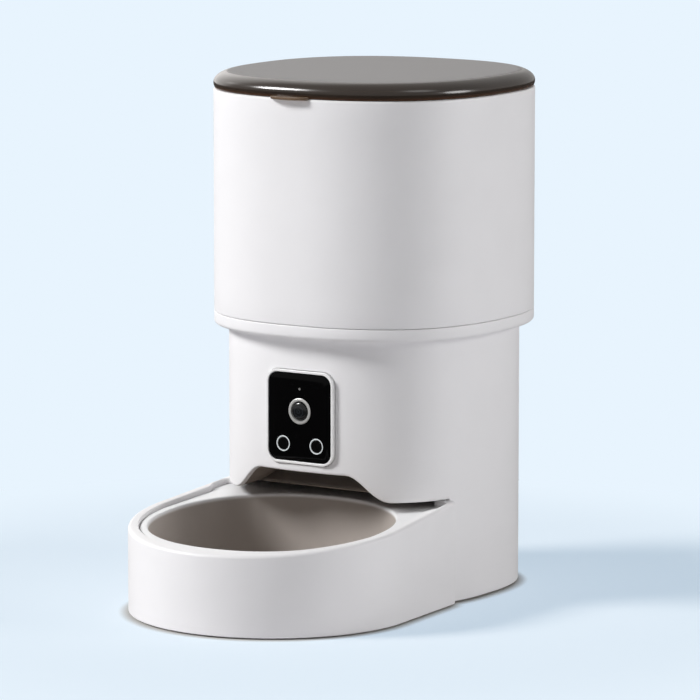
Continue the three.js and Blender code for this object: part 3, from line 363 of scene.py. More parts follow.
@dataclass(frozen=True)
class LensGlass(Surface):
    """Coated camera glass: a dark well with rings behind a clear, faintly tinted dome."""

    name: str = "coated_camera_glass"
    slot: str = "lens_glass"
    rings: tuple[tuple[float, str], ...] = (
        (0.0, "0c0d10"), (0.24, "22262a"), (0.3, "08090c"), (0.52, "15171b"), (0.58, "2a2d33"), (0.64, "0a0a0c"),
        (0.86, "17181b"), (1.0, "050506"),
    )

    def paint(self, graph: Graph) -> None:
        """Paints the barrel's rings as they are seen through the glass.

        Args:
            graph: the empty tree.
        """
        low, high = span("lens")
        centre = (low + high) / 2
        place = graph.place()
        offset = graph.vectors("SUBTRACT", place, (centre.x, 0, centre.z))
        reach = graph.vectors("LENGTH", graph.vectors("MULTIPLY", offset, (1, 0, 1)))
        rings = graph.add("ShaderNodeValToRGB", {"Fac": graph.maths("DIVIDE", reach, (high.x - low.x) / 2)})
        steps = rings.color_ramp
        steps.interpolation = "EASE"
        for (share, colour), step in zip((self.rings[0], self.rings[-1]), tuple(steps.elements)):
            step.position, step.color = share, linear(colour)
        for share, colour in self.rings[1:-1]:
            steps.elements.new(share).color = linear(colour)
        graph.plastic({
            "Base Color": rings.outputs["Color"], "Roughness": graph.ramp(graph.noise(place, 8), 0.0, 1.0, 0.13, 0.17),
            "IOR": 1.5,
        })


# Shape helpers


def superpower(value: float, power: float) -> float:
    """Bends a sine or cosine towards a squarer outline; a power of 2 leaves it as it is."""
    return math.copysign(abs(value) ** (2 / power), value)


def circle(steps: int) -> list[float]:
    """Gives the angles of even steps of a whole turn."""
    return [2 * math.pi * step / steps for step in range(steps)]


def quarter(steps: int, start: int = 0) -> Ring:
    """Gives the cosine and sine of even steps of a quarter turn, both ends included."""
    turns = [math.pi / 2 * step / steps for step in range(start, steps + 1)]
    return [(math.cos(turn), math.sin(turn)) for turn in turns]


def rounded(radius: float, start_deg: float, end_deg: float, steps: int) -> Ring:
    """Gives the points of a round corner about its own centre, across and up."""
    turns = [math.radians(start_deg + (end_deg - start_deg) * step / steps) for step in range(steps + 1)]
    return [(radius * math.cos(turn), radius * math.sin(turn)) for turn in turns]


def ease(share: float) -> float:
    """Bends a share of 0 to 1 into an S, by half a cosine wave."""
    return (1 - math.cos(math.pi * share)) / 2


def clamped(value: float, low: float, high: float) -> float:
    """Keeps a value between two others."""
    return min(max(value, low), high)


def between(start: Ring, end: Ring, share: float) -> Ring:
    """Blends two rings of the same count; a share of 0 gives the first."""
    return [(a[0] + (b[0] - a[0]) * share, a[1] + (b[1] - a[1]) * share) for a, b in zip(start, end)]


@dataclass
class Section:
    """A rounded-square section in plan: |x/a|^n + |y/b|^n = 1."""

    half_x: float
    half_y: float
    power: float
    centre_y: float
    count: int = 240

    def at(self, across: float, along: float, inset: float = 0.0) -> Point:
        """Gives the outline's point, or one inset, in a direction given in half widths and half depths."""
        reach = (abs(across) ** self.power + abs(along) ** self.power) ** (-1 / self.power)
        return (self.half_x - inset) * reach * across, self.centre_y + (self.half_y - inset) * reach * along

    def ring(self, inset: float = 0.0) -> Ring:
        """Gives the outline at an inset, evenly spaced."""
        aims = [turn - SPREAD * math.sin(4 * turn) for turn in circle(self.count)]
        return [self.at(math.cos(aim), math.sin(aim), inset) for aim in aims]


def span(node: str) -> tuple[Vector, Vector]:
    """Gives a node's lowest and highest corners as vectors."""
    low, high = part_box(node)
    return Vector(low), Vector(high)


def quads(rows: int, count: int, closed: bool) -> list[tuple[int, ...]]:
    """Gives the faces between rows of rings of count points; if closed, the last ring joins the first."""
    return [
        (row * count + step, row * count + (step + 1) % count,
         (row + 1) % rows * count + (step + 1) % count, (row + 1) % rows * count + step)
        for row in range(rows if closed else rows - 1) for step in range(count)
    ]


def capped(rows: int, count: int) -> list[tuple[int, ...]]:
    """Gives the faces between rings and one flat face over each end."""
    return [*quads(rows, count, False), tuple(range(count)), tuple(range((rows - 1) * count, rows * count))]


def smooth(piece: Piece, angle_deg: float = CRISP_DEG) -> None:
    """Shades a piece smooth and keeps its sharper edges crisp."""
    piece.data.shade_smooth()
    piece.data.set_sharp_from_angle(angle=math.radians(angle_deg))


def tidied(piece: Piece, dissolve: bool = False) -> Piece:
    """Merges a piece's doubles, turns its faces outwards and shades it.

    Args:
        piece: the mesh object.
        dissolve: True to take out faces without area as well.

    Returns:
        The same object.
    """
    work = bmesh.new()
    work.from_mesh(piece.data)
    bmesh.ops.remove_doubles(work, verts=work.verts, dist=SAME)
    if dissolve:
        bmesh.ops.dissolve_degenerate(work, edges=work.edges, dist=SAME)
    bmesh.ops.recalc_face_normals(work, faces=work.faces)
    work.to_mesh(piece.data)
    work.free()
    smooth(piece)
    return piece


def linked(name: str, data: bpy.types.ID) -> Piece:
    """Makes an object and puts it in the scene.

    Args:
        name: the object's name.
        data: its mesh, lamp or camera.

    Returns:
        The object.
    """
    made = bpy.data.objects.new(name, data)
    bpy.context.scene.collection.objects.link(made)
    return made


def mesh_of(name: str, verts: Sequence[Sequence[float]], faces: Sequence[tuple[int, ...]] = ()) -> bpy.types.Mesh:
    """Makes a mesh.

    Args:
        name: the mesh's name.
        verts: its points.
        faces: its faces, as numbers of points.

    Returns:
        The mesh.
    """
    mesh = bpy.data.meshes.new(name)
    mesh.from_pydata([tuple(vert) for vert in verts], [], faces)
    return mesh


def meshed(name: str, verts: Sequence[Sequence[float]], faces: Sequence[tuple[int, ...]]) -> Piece:
    """Makes a clean mesh object from points and faces."""
    return tidied(linked(name, mesh_of(name, verts, faces)), dissolve=True)


def frozen(piece: Piece) -> Piece:
    """Turns a piece's modifiers into plain mesh.

    Args:
        piece: the object with modifiers.

    Returns:
        The same object with its final mesh.
    """
    graph = bpy.context.evaluated_depsgraph_get()
    final = bpy.data.meshes.new_from_object(piece.evaluated_get(graph))
    piece.modifiers.clear()
    piece.data = final
    smooth(piece)
    return piece


class Work(Enum):
    """What a tool does to a piece."""

    CUT = "DIFFERENCE"
    JOIN = "UNION"
    KEEP = "INTERSECT"


def shaped(piece: Piece, work: Work, *tools: Piece) -> Piece:
    """Cuts a piece with tools, joins them to it or keeps what lies in them, and deletes the tools.

    Args:
        piece: the object that stays.
        work: what the tools do.
        tools: closed objects.

    Returns:
        The same object with its new mesh.
    """
    for tool in tools:
        change = piece.modifiers.new("work", "BOOLEAN")
        change.operation, change.solver, change.object = work.value, "EXACT", tool
    frozen(piece)
    for tool in tools:
        bpy.data.objects.remove(tool)
    return piece


def skin(name: str, stations: Sequence[Station], middle: Point | None = None) -> Piece:
    """Joins rings into one closed skin.

    Args:
        name: the new object's name.
        stations: the rings and their heights, level or by a rule, in order along the wall.
        middle: the plan point that both ends close over; without it the last ring joins the first.

    Returns:
        The new mesh object.
    """
    rows, count = len(stations), len(stations[0][0])
    verts = [(x, y, height(x, y) if callable(height) else height) for ring, height in stations for x, y in ring]
    faces = quads(rows, count, middle is None)
    for row in (0, rows - 1) if middle else ():
        height = stations[row][1]
        faces += [(row * count + step, row * count + (step + 1) % count, len(verts)) for step in range(count)]
        verts.append((*middle, height(*middle) if callable(height) else height))
    return meshed(name, verts, faces)


def turned(name: str, profile: Ring, centre: Vector, steps: int = 96, upright: bool = False) -> Piece:
    """Turns a profile about a line that runs front to back, or about an upright one.

    Args:
        name: the new object's name.
        profile: pairs of radius and place along the line; it closes on itself or starts and ends on the line.
        centre: a point on the line.
        steps: how many pieces the turn is cut into.
        upright: True for the upright line.

    Returns:
        The new mesh object.
    """
    verts = []
    for radius, along in profile:
        for turn in circle(steps):
            x, other = centre.x + radius * math.cos(turn), radius * math.sin(turn)
            verts.append((x, centre.y + other, along) if upright else (x, along, centre.z + other))
    return meshed(name, verts, quads(len(profile), steps, True))


def prism(name: str, outline: Ring, front: float, rear: float) -> Piece:
    """Extrudes an outline of points across and up between two depths."""
    return meshed(name, [(x, depth, z) for depth in (front, rear) for x, z in outline], capped(2, len(outline)))


def block(name: str, low: Sequence[float], high: Sequence[float]) -> Piece:
    """Makes a plain block between two corners, to cut or to join."""
    outline = [(low[0], low[2]), (high[0], low[2]), (high[0], high[2]), (low[0], high[2])]
    return prism(name, outline, low[1], high[1])


@dataclass
class RoundedRect:
    """A rounded rectangle seen from the front."""

    low: Vector
    high: Vector
    corner: float
    steps: int = 20

    def outline(self, inset: float = 0.0) -> Ring:
        """Gives the outline drawn in by an inset.

        Args:
            inset: how far inside; negative is outside.

        Returns:
            Points across and up.
        """
        radius = max(self.corner - inset, 0.4 * MM)
        half_x = (self.high.x - self.low.x) / 2 - inset - radius
        half_z = (self.high.z - self.low.z) / 2 - inset - radius
        mid_x, mid_z = (self.high.x + self.low.x) / 2, (self.high.z + self.low.z) / 2
        points = []
        for number, (side, end) in enumerate(((1, 1), (-1, 1), (-1, -1), (1, -1))):
            for step in range(self.steps + 1):
                turn = math.pi / 2 * (number + step / self.steps)
                points.append((
                    mid_x + side * half_x + radius * math.cos(turn), mid_z + end * half_z + radius * math.sin(turn),
                ))
        return points

    def loft(self, name: str, stations: Ring, closed: bool = False) -> Piece:
        """Lofts the outline through pairs of inset and depth.

        Args:
            name: the new object's name.
            stations: the pairs in order.
            closed: True where the last joins the first, as on a frame; otherwise the ends are filled.

        Returns:
            The new closed object.
        """
        verts = [(x, depth, z) for inset, depth in stations for x, z in self.outline(inset)]
        rows, count = len(stations), 4 * (self.steps + 1)
        return meshed(name, verts, quads(rows, count, True) if closed else capped(rows, count))


# Geometry trees: a wrap for the rounded-square mouldings, and copies of a piece at given places


class Inlet(Enum):
    """The kinds of input that a geometry tree takes."""

    NUMBER = "NodeSocketFloat"
    PIECE = "NodeSocketObject"
    FINISH = "NodeSocketMaterial"


def started(name: str, **inlets: Inlet) -> tuple[Graph, bpy.types.Node]:
    """Starts a geometry tree with a mesh input, named inputs, a finish and a mesh output.

    Args:
        name: the tree's name.
        inlets: the name and kind of each further input.

    Returns:
        The tree and its input node.
    """
    tree = bpy.data.node_groups.new(name, "GeometryNodeTree")
    tree.interface.new_socket("Mesh", in_out="INPUT", socket_type="NodeSocketGeometry")
    for label, kind in (inlets | {"finish": Inlet.FINISH}).items():
        tree.interface.new_socket(label, in_out="INPUT", socket_type=kind.value)
    tree.interface.new_socket("Mesh", in_out="OUTPUT", socket_type="NodeSocketGeometry")
    graph = Graph(tree)
    return graph, graph.add("NodeGroupInput")


def ended(graph: Graph, shape: Socket, inlet: bpy.types.Node) -> bpy.types.NodeTree:
    """Ends a geometry tree in plain mesh with its material.

    Args:
        graph: the tree's graph.
        shape: the socket that gives the shape.
        inlet: the tree's input node.

    Returns:
        The tree.
    """
    plain = graph.add("GeometryNodeRealizeInstances", {"Geometry": shape}).outputs["Geometry"]
    painted = graph.add("GeometryNodeSetMaterial", {"Geometry": plain, "Material": inlet.outputs["finish"]})
    graph.add("NodeGroupOutput", {"Mesh": painted.outputs["Geometry"]})
    return graph.tree


def grown(name: str, source: bpy.types.Mesh, tree: bpy.types.NodeTree, **values: float | Piece) -> Piece:
    """Runs a geometry tree on a mesh and keeps what comes out as plain mesh.

    Args:
        name: the new object's name.
        source: the mesh that goes in.
        tree: the geometry tree.
        values: a value for each named input.

    Returns:
        The new object, with no modifier left on it.
    """
    made = linked(name, source)
    growth = made.modifiers.new("growth", "NODES")
    growth.node_group = tree
    values["finish"] = WHITE.build()
    for item in tree.interface.items_tree:
        if item.in_out == "INPUT" and item.name in values:
            growth[item.identifier] = values[item.name]
    return tidied(frozen(made))


def wrap_tree() -> bpy.types.NodeTree:
    """Builds the tree that wraps a flat grid round a section, as Section.ring does.

    The grid holds a turn in x, an inset in y and a height in z.

    Returns:
        The tree, made once.
    """
    made = bpy.data.node_groups.get("rounded_square_wrap")
    if made:
        return made
    number = Inlet.NUMBER
    graph, inlet = started("rounded_square_wrap", half_x=number, half_y=number, power=number, centre_y=number)
    flat = graph.add("ShaderNodeSeparateXYZ", {"Vector": graph.add("GeometryNodeInputPosition").outputs["Position"]})
    turn, inset, height = flat.outputs["X"], flat.outputs["Y"], flat.outputs["Z"]
    wave = graph.maths("SINE", graph.maths("MULTIPLY", turn, 4.0))
    aim = graph.maths("SUBTRACT", turn, graph.maths("MULTIPLY", wave, SPREAD))
    power = inlet.outputs["power"]
    sides = [graph.maths(operation, aim) for operation in ("COSINE", "SINE")]
    shares = [graph.maths("POWER", graph.maths("ABSOLUTE", side), power) for side in sides]
    reach = graph.maths("POWER", graph.maths("ADD", *shares), graph.maths("DIVIDE", -1.0, power))
    halves = [graph.maths("SUBTRACT", inlet.outputs[half], inset) for half in ("half_x", "half_y")]
    x, y = [graph.maths("MULTIPLY", graph.maths("MULTIPLY", side, reach), half) for side, half in zip(sides, halves)]
    y = graph.maths("ADD", y, inlet.outputs["centre_y"])
    place = graph.add("ShaderNodeCombineXYZ", {"X": x, "Y": y, "Z": height}).outputs["Vector"]
    laid = graph.add("GeometryNodeSetPosition", {"Geometry": inlet.outputs["Mesh"], "Position": place})
    return ended(graph, laid.outputs["Geometry"], inlet)


def copies_tree() -> bpy.types.NodeTree:
    """Builds the tree that sets a copy of one piece on each point.

    Returns:
        The tree, made once.
    """
    made = bpy.data.node_groups.get("copies_at_points")
    if made:
        return made
    graph, inlet = started("copies_at_points", piece=Inlet.PIECE)
    piece = graph.add("GeometryNodeObjectInfo", {"Object": inlet.outputs["piece"]}, transform_space="ORIGINAL")
    copies = graph.add("GeometryNodeInstanceOnPoints", {
        "Points": inlet.outputs["Mesh"], "Instance": piece.outputs["Geometry"],
    })
    return ended(graph, copies.outputs["Instances"], inlet)


def wrapped(name: str, section: Section, profile: Ring, closed: bool) -> Piece:
    """Wraps a profile of insets and heights round a section.

    Args:
        name: the new object's name.
        section: the section.
        profile: pairs of inset and height, in order along the wall.
        closed: True if the last pair joins the first; otherwise both ends are filled flat.

    Returns:
        The new closed object.
    """
    count, rows = section.count, len(profile)
    verts = [(turn, inset, height) for inset, height in profile for turn in circle(count)]
    flat = mesh_of(name, verts, quads(rows, count, True) if closed else capped(rows, count))
    sizes = {label: getattr(section, label) for label in ("half_x", "half_y", "power", "centre_y")}
    return grown(name, flat, wrap_tree(), **sizes)


def copied(name: str, piece: Piece, places: Sequence[Sequence[float]]) -> Piece:
    """Sets a copy of a piece at each place and deletes the piece itself.

    Args:
        name: the new object's name.
        piece: the piece, made at the origin.
        places: where the copies go.

    Returns:
        One object with all the copies.
    """
    made = grown(name, mesh_of(name, places), copies_tree(), piece=piece)
    bpy.data.objects.remove(piece)
    return made


def dress(piece: Piece, finish: Surface, body: str, *nodes: str) -> None:
    """Gives a piece its finish, the body it rides on and the nodes that it stands for.

    Args:
        piece: the finished mesh object.
        finish: its surface.
        body: the moving body that carries it.
        nodes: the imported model's nodes that it replaces.
    """
    piece.data.materials.clear()
    piece.data.materials.append(finish.build())
    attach(piece, body)
    if nodes:
        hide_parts(*nodes)
    LOG.info("%s: %d faces, rides on %s", piece.name, len(piece.data.polygons), body)


# Sub-assemblies


@dataclass
class Hopper:
    """The white sleeve of the hopper, with the funnel inside it."""

    power: float = 2.44
    wall: float = 2.6 * MM
    edge: float = 1.1 * MM
    foot_edge: float = 0.45 * MM
    ledge: float = 3.4 * MM
    ledge_thick: float = 3 * MM
    ledge_end: float = 7 * MM
    seat: float = 229 * MM
    flank_steps: int = 12
    well_radius: float = 60 * MM
    well_wall: float = 2 * MM
    well_top: float = 203 * MM
    rim_deep: float = 7 * MM
    skin: float = 2.2 * MM
    slope_steps: int = 10

    def __post_init__(self) -> None:
        """Reads the sleeve's size from the frame."""
        low, high = span("hopper_shell")
        self.low, self.high = low.z, high.z
        self.section = Section((high.x - low.x) / 2, (high.y - low.y) / 2, self.power, (high.y + low.y) / 2)

    def sleeve(self) -> None:
        """Builds the outer sleeve, with the ledge inside it that carries the funnel."""
        foot_edge = self.foot_edge
        foot = [(foot_edge - out, self.low + foot_edge + up) for out, up in rounded(foot_edge, -90, 0, 4)]
        flanks = [
            (0.0, self.low + (self.high - self.low) * step / self.flank_steps) for step in range(1, self.flank_steps)
        ]
        top = [(self.edge - out, self.high - self.edge + up) for out, up in rounded(self.edge, 0, 90, 6)]
        inner_top = [
            (self.wall - foot_edge + out, self.high - foot_edge + up)
            for out, up in reversed(rounded(foot_edge, 0, 90, 3))
        ]
        deep, seat = self.wall + self.ledge, self.seat
        inside = [
            (self.wall, seat), (deep, seat), (deep, seat - self.ledge_thick), (self.wall, seat - self.ledge_end),
            (self.wall, self.low),
        ]
        sleeve = wrapped("hopper_sleeve", self.section, [*foot, *flanks, *top, *inner_top, *inside], closed=True)
        dress(sleeve, WHITE, "hopper", "hopper_shell")

    def funnel(self) -> None:
        """Builds the funnel that narrows to the rotor's round well."""
        low, high = span("hopper_funnel")
        rim = Section((high.x - low.x) / 2, (high.y - low.y) / 2, self.power, self.section.centre_y)
        well = Section(self.well_radius, self.well_radius, 2, self.section.centre_y)
        seat, edge, inner = high.z - self.rim_deep, high.z - 0.4 * MM, rim.ring(self.skin)
        outer_well, inner_seat = well.ring(-self.well_wall), high.z - self.rim_deep + self.skin
        slope = []
        for step in range(self.slope_steps + 1):
            share = step / self.slope_steps
            height = inner_seat - (inner_seat - self.well_top) * share
            slope.append((between(inner, well.ring(), 0.04 + 0.96 * share), height))
        dress(skin("funnel", [
            (rim.ring(), edge), (rim.ring(), seat), (rim.ring(3.6 * MM), seat),
            (outer_well, self.well_top - 0.5 * MM), (outer_well, low.z), (well.ring(), low.z), *reversed(slope),
            (inner, inner_seat + 1.4 * MM), (inner, edge), (rim.ring(self.skin / 2), high.z),
        ]), INNER, "hopper", "hopper_funnel")


@dataclass
class Lid:
    """The smoky lid with its matte flat top, rounded rim, plug skirt and pull tab."""

    section: Section
    sleeve_top: float
    gap: float = 0.3 * MM
    flat_inset: float = 10.7 * MM
    belly_share: float = 0.30
    belly_inset: float = 1.0 * MM
    belly_steps: int = 4
    round_steps: int = 18
    across_power: float = 1.72
    up_power: float = 2.1
    top_insets: tuple[float, ...] = (50 * MM, 20 * MM, 6 * MM, 1.5 * MM)
    skirt: float = 5 * MM
    skirt_wall: float = 2 * MM
    under: float = 3 * MM
    under_slope: float = 5 * MM
    tab_half: float = 13.8 * MM
    tab_thick: float = 1.9 * MM
    tab_steps: int = 24
    tab_across_power: float = 3.2
    tab_along_power: float = 2.6
    tab_layers: Ring = field(default_factory=lambda: [
        (0.55 * MM, -0.5), (0.12 * MM, -0.42), (0, -0.2), (0, 0.2), (0.12 * MM, 0.42), (0.55 * MM, 0.5),
    ])

    def build(self) -> None:
        """Builds the lid and its tab."""
        low, high = span("lid_cover")
        foot = self.sleeve_top + self.gap
        belly = self.belly_share * (high.z - foot)
        rim = [
            (self.flat_inset * (1 - superpower(across, self.across_power)),
             foot + belly + (high.z - foot - belly) * superpower(up, self.up_power))
            for across, up in quarter(self.round_steps)
        ]
        shares = [step / self.belly_steps for step in range(self.belly_steps)]
        lower = [(self.belly_inset * (1 - share) ** 2, foot + belly * share) for share in shares]
        underside, inner = high.z - self.under, self.skirt + self.skirt_wall
        cover = wrapped("lid", self.section, [
            *[(self.flat_inset + inset, high.z) for inset in self.top_insets], *reversed(rim), *reversed(lower),
            (self.skirt, foot), (self.skirt, low.z), (inner, low.z), (inner, underside - self.under_slope),
            (inner + self.under_slope, underside),
        ], closed=False)
        self.tab(low.y, foot + 0.15 * MM)
        dress(cover, SmokyLid(top=high.z, low=foot), "lid", "lid_cover")

    def tab(self, front: float, middle: float) -> None:
        """Builds the pull tab, a thin tongue with a round front edge.

        Args:
            front: the depth of its front edge.
            middle: the height of its middle.
        """
        back = self.section.centre_y - self.section.half_y + 2.2 * MM
        outline = []
        for step in range(self.tab_steps + 1):
            turn = math.pi * step / self.tab_steps
            outline.append((
                -self.tab_half * superpower(math.cos(turn), self.tab_across_power),
                back - (back - front) * superpower(math.sin(turn), self.tab_along_power),
            ))
        outline += [(self.tab_half, back + 1 * MM), (-self.tab_half, back + 1 * MM)]
        verts, hub = [], Vector((0, back))
        for inset, share in self.tab_layers:
            for point in outline:
                away = Vector(point) - hub
                x, y = hub + away * (1 - inset / max(away.length, 1 * MM))
                verts.append((x, y, middle + share * self.tab_thick))
        dress(meshed("pull_tab", verts, capped(len(self.tab_layers), len(outline))), THIN_SMOKE, "lid")


@dataclass
class Arch:
    """The arched window in the front of the base: flat top, an S on each side, level flanks."""

    top: float = 82.7 * MM
    side: float = 66.4 * MM
    top_half: float = 31.5 * MM
    side_half: float = 58 * MM

    def height(self, x: float) -> float:
        """Gives the arch's edge height at a place across the front."""
        share = clamped((abs(x) - self.top_half) / (self.side_half - self.top_half), 0, 1)
        return self.top - (self.top - self.side) * ease(share)


@dataclass
class Base:
    """The white body with its shoulder ring, arch, panel opening and rear openings."""

    hopper: Section
    arch: Arch = field(default_factory=Arch)
    power: float = 2.59
    half_x: float = 85.7 * MM
    half_y: float = 85.2 * MM
    wall: float = 2.6 * MM
    wall_top: float = 150 * MM
    fillet: float = 6.2 * MM
    fillet_share: float = 0.62
    ring_low: float = 167.7 * MM
    ring_round: float = 2.6 * MM
    ring_edge: float = 0.6 * MM
    seat_inset: float = 6 * MM
    seat_depth: float = 5.35 * MM
    seam: float = 14.2 * MM
    lip: float = 1.1 * MM
    break_height: float = 100 * MM
    ramp_front: float = -49.2 * MM
    ramp_rear: float = -24 * MM
    ramp_low: float = 69 * MM
    ramp_thick: float = 2 * MM
    liner_wall: float = 2 * MM
    liner_gap: float = 0.3 * MM
    liner_steps: int = 40
    sound_hole: float = 1.3 * MM
    sound_circle: float = 6 * MM
    sound_count: int = 6
    past: float = 5 * MM

    def __post_init__(self) -> None:
        """Sets the body's section and height range, and lays its columns in front of the seam and behind it."""
        low, high = span("base_shell")
        self.low, self.high = low.z, high.z
        self.section = Section(self.half_x, self.half_y, self.power, self.hopper.centre_y)
        points, crossings = self.section.ring(), []
        for step, (x, y) in enumerate(points):
            x2, y2 = points[(step + 1) % len(points)]
            if (y - self.seam) * (y2 - self.seam) < 0:
                crossings.append((step + 1, (x + (x2 - x) * (self.seam - y) / (y2 - y), self.seam)))
        (first, left), (second, right) = crossings
        self.front = [left, *points[first:second], right]
        self.rear = [right, *points[second:], *points[:first], left]

    def laid(self, columns: Ring, section: Section, inset: float = 0.0) -> Ring:
        """Lays columns on another section along their own directions from the middle.

        Args:
            columns: the columns in plan.
            section: the section to lie on.
            inset: how far inside it.

        Returns:
            The points on that section.
        """
        own = self.section
        aims = [math.atan2((y - own.centre_y) / own.half_y, x / own.half_x) for x, y in columns]
        return [section.at(math.cos(aim), math.sin(aim), inset) for aim in aims]

    def stretch(self, columns: Ring, feet: list[float]) -> tuple[Rows, Rows]:
        """Lays the wall over some columns.

        Args:
            columns: the columns in plan.
            feet: the height of the lower edge at each.

        Returns:
            The rows of its rounded lower edge, and those from there over the shoulder ring and down the inside.
        """
        def row(section: Section, inset: float, heights: Sequence[float] | float) -> list[Vector]:
            """Lays one row on a section, level or with a height for each column."""
            heights = [heights] * len(columns) if isinstance(heights, float) else heights
            return [Vector((x, y, z)) for (x, y), z in zip(self.laid(columns, section, inset), heights)]

        own, hopper, start, bend = self.section, self.hopper, self.ring_low - self.fillet, self.break_height
        edge = [
            row(own, self.lip - out, [foot + self.lip + up for foot in feet])
            for out, up in rounded(self.lip, -90, 0, 5)
        ]
        rise = [
            row(own, 0, [foot + self.lip + (bend - foot - self.lip) * step / 10 for foot in feet])
            for step in range(1, 11)
        ]
        plain = [row(own, 0, bend + (start - bend) * step / 24) for step in range(1, 25)]
        outer, shelf = self.laid(columns, own), self.laid(columns, hopper, self.ring_round)
        fillet = []
        for out, up in quarter(10, 1):
            ring = between(outer, shelf, (1 - out) ** 1.5 * self.fillet_share)
            fillet.append([Vector((x, y, start + self.fillet * up)) for x, y in ring])
        band = [
            row(hopper, self.ring_round - out, self.ring_low + self.ring_round + up)
            for out, up in rounded(self.ring_round, -90, 0, 8)
        ]
        crest = [
            row(hopper, self.ring_edge - out, self.high - self.ring_edge + up)
            for out, up in rounded(self.ring_edge, 0, 90, 4)
        ]
        seat = self.high - self.seat_depth
        inside = [
            row(hopper, self.seat_inset, self.high), row(hopper, self.seat_inset, seat), row(own, self.wall, seat),
            row(own, self.wall, self.wall_top), row(own, self.wall, feet),
        ]
        return edge, [edge[-1], *rise, *plain, *fillet, *band, *crest, *inside]

    def shell(self) -> Piece:
        """Builds the body and shoulder ring as one moulding.

        Returns:
            The body, not yet cut.
        """
        front_edge, front = self.stretch(self.front, [self.arch.height(x) for x, _ in self.front])
        upper_edge, upper = self.stretch(self.rear, [self.arch.side] * len(self.rear))
        lower_edge, lower = self.stretch(self.rear, [self.low] * len(self.rear))
        outside, inside = [
            [[one + (other - one) * step / steps for one, other in zip(start, end)] for step in range(steps + 1)]
            for start, end, steps in ((lower_edge[-1], upper_edge[-1], 12), (upper[-1], lower[-1], 4))
        ]
        verts, faces = [], []
        for rows in (front, [front[-1], *front_edge], upper, outside, inside, [lower[-1], *lower_edge]):
            base, count = len(verts), len(rows[0])
            verts += [point for line in rows for point in line]
            for row in range(len(rows) - 1):
                first = base + row * count
                faces += [(here, here + 1, here + 1 + count, here + count) for here in range(first, first + count - 1)]
        for end in (0, -1):
            polygon = [
                *[row[end] for row in outside], *[row[-1 - end] for row in reversed(front_edge[:-1])],
                *[row[end] for row in inside], *[row[end] for row in lower_edge[:-1]],
            ]
            faces.append(tuple(range(len(verts), len(verts) + len(polygon))))
            verts += polygon
        return meshed("body", verts, faces)

    def build(self) -> None:
        """Cuts the panel opening, the inlet and the sound holes into the body."""
        made, past = self.shell(), self.past
        low, high = span("panel_bezel")
        opening = RoundedRect(low, high, Panel.corner).outline(-Panel.seam)
        panel = prism("panel_cut", opening, low.y - 4 * past, high.y + 6 * MM)
        rear = self.hopper.centre_y + self.half_y
        inlet = RoundedRect(*span("power_inlet"), 1 * MM).outline(-0.3 * MM)
        low, high = span("speaker")
        centre = (low + high) / 2
        ways = [Vector((math.cos(turn), 0, math.sin(turn))) for turn in circle(self.sound_count)]
        spots = [centre] + [centre + self.sound_circle * way for way in ways]
        one = turned("sound_hole", [
            (0, rear - 8 * MM), (self.sound_hole, rear - 8 * MM), (self.sound_hole, rear + past), (0, rear + past),
        ], Vector(), 32)
        shaped(
            made, Work.CUT, panel, prism("inlet_cut", inlet, rear - 14 * MM, rear + past),
            copied("sound_holes", one, [(spot.x, 0, spot.z) for spot in spots]),
        )
        dress(made, WHITE, "base", "base_shell")

    def liner(self) -> None:
        """Builds the smooth arched liner of the bowl's recess, with the sloped plate under the chute."""
        low, high = span("recess_liner")
        wall, arch = self.liner_wall, self.arch
        half, steps = high.x - wall, self.liner_steps
        bend = [(1 - step / steps) * (arch.side_half - arch.top_half) for step in range(steps + 1)]

        def outline(grow: float, foot: float) -> Ring:
            """Gives the liner's outline from the front, grown outwards and down to a foot."""
            right = [(half + grow, foot), (half + grow, arch.side + grow), *[
                (arch.top_half + grow / 2 + across, arch.height(arch.top_half + across) + grow) for across in bend
            ]]
            return right + [(-x, z) for x, z in reversed(right)]

        outer, whole = [
            prism(name, outline(wall, low.z), low.y - 30 * MM, high.y) for name in ("recess_lining", "whole")
        ]
        hollow = prism("hollow", outline(0, low.z - 8 * MM), low.y - 40 * MM, high.y - wall)
        gap, centre_y = self.wall + self.liner_gap, self.hopper.centre_y
        inner = Section(self.half_x - gap, self.half_y - gap, self.power, centre_y).ring()
        shaped(outer, Work.KEEP, skin("bound", [(inner, -10 * MM), (inner, 200 * MM)], (0.0, centre_y)))
        room = block("room", (-95 * MM, -60 * MM, -1 * MM), (95 * MM, self.seam, arch.side))
        chute_low, chute_high = span("food_chute")
        corner = (chute_low.x + wall, chute_low.y + wall, 70 * MM)
        port = block("port", corner, (chute_high.x - wall, chute_high.y - wall, 95 * MM))
        shaped(outer, Work.CUT, hollow, room, port)
        shaped(outer, Work.JOIN, shaped(self.ramp(), Work.KEEP, whole))
        # The liner's warm grey is painted shade.
        dress(outer, LINER_WITH_PAINTED_SHADE, "base", "recess_liner")

    def ramp(self) -> Piece:
        """Builds the sloped plate that guides what falls from the chute into the bowl.

        Returns:
            The closed plate, ready to be joined to the liner.
        """
        front, rear, low, high, thick = (
            self.ramp_front, self.ramp_rear, self.ramp_low, self.arch.top + 2 * MM, self.ramp_thick,
        )
        profile = [
            (front, low - thick), (rear, high - thick), (rear, high), (front, low), (front - 0.8 * MM, low - 1.2 * MM),
        ]
        half, axis = self.arch.side_half, self.hopper.centre_y
        verts = [(side * half, axis + y, z) for side in (-1, 1) for y, z in profile]
        return meshed("ramp", verts, capped(2, len(profile)))


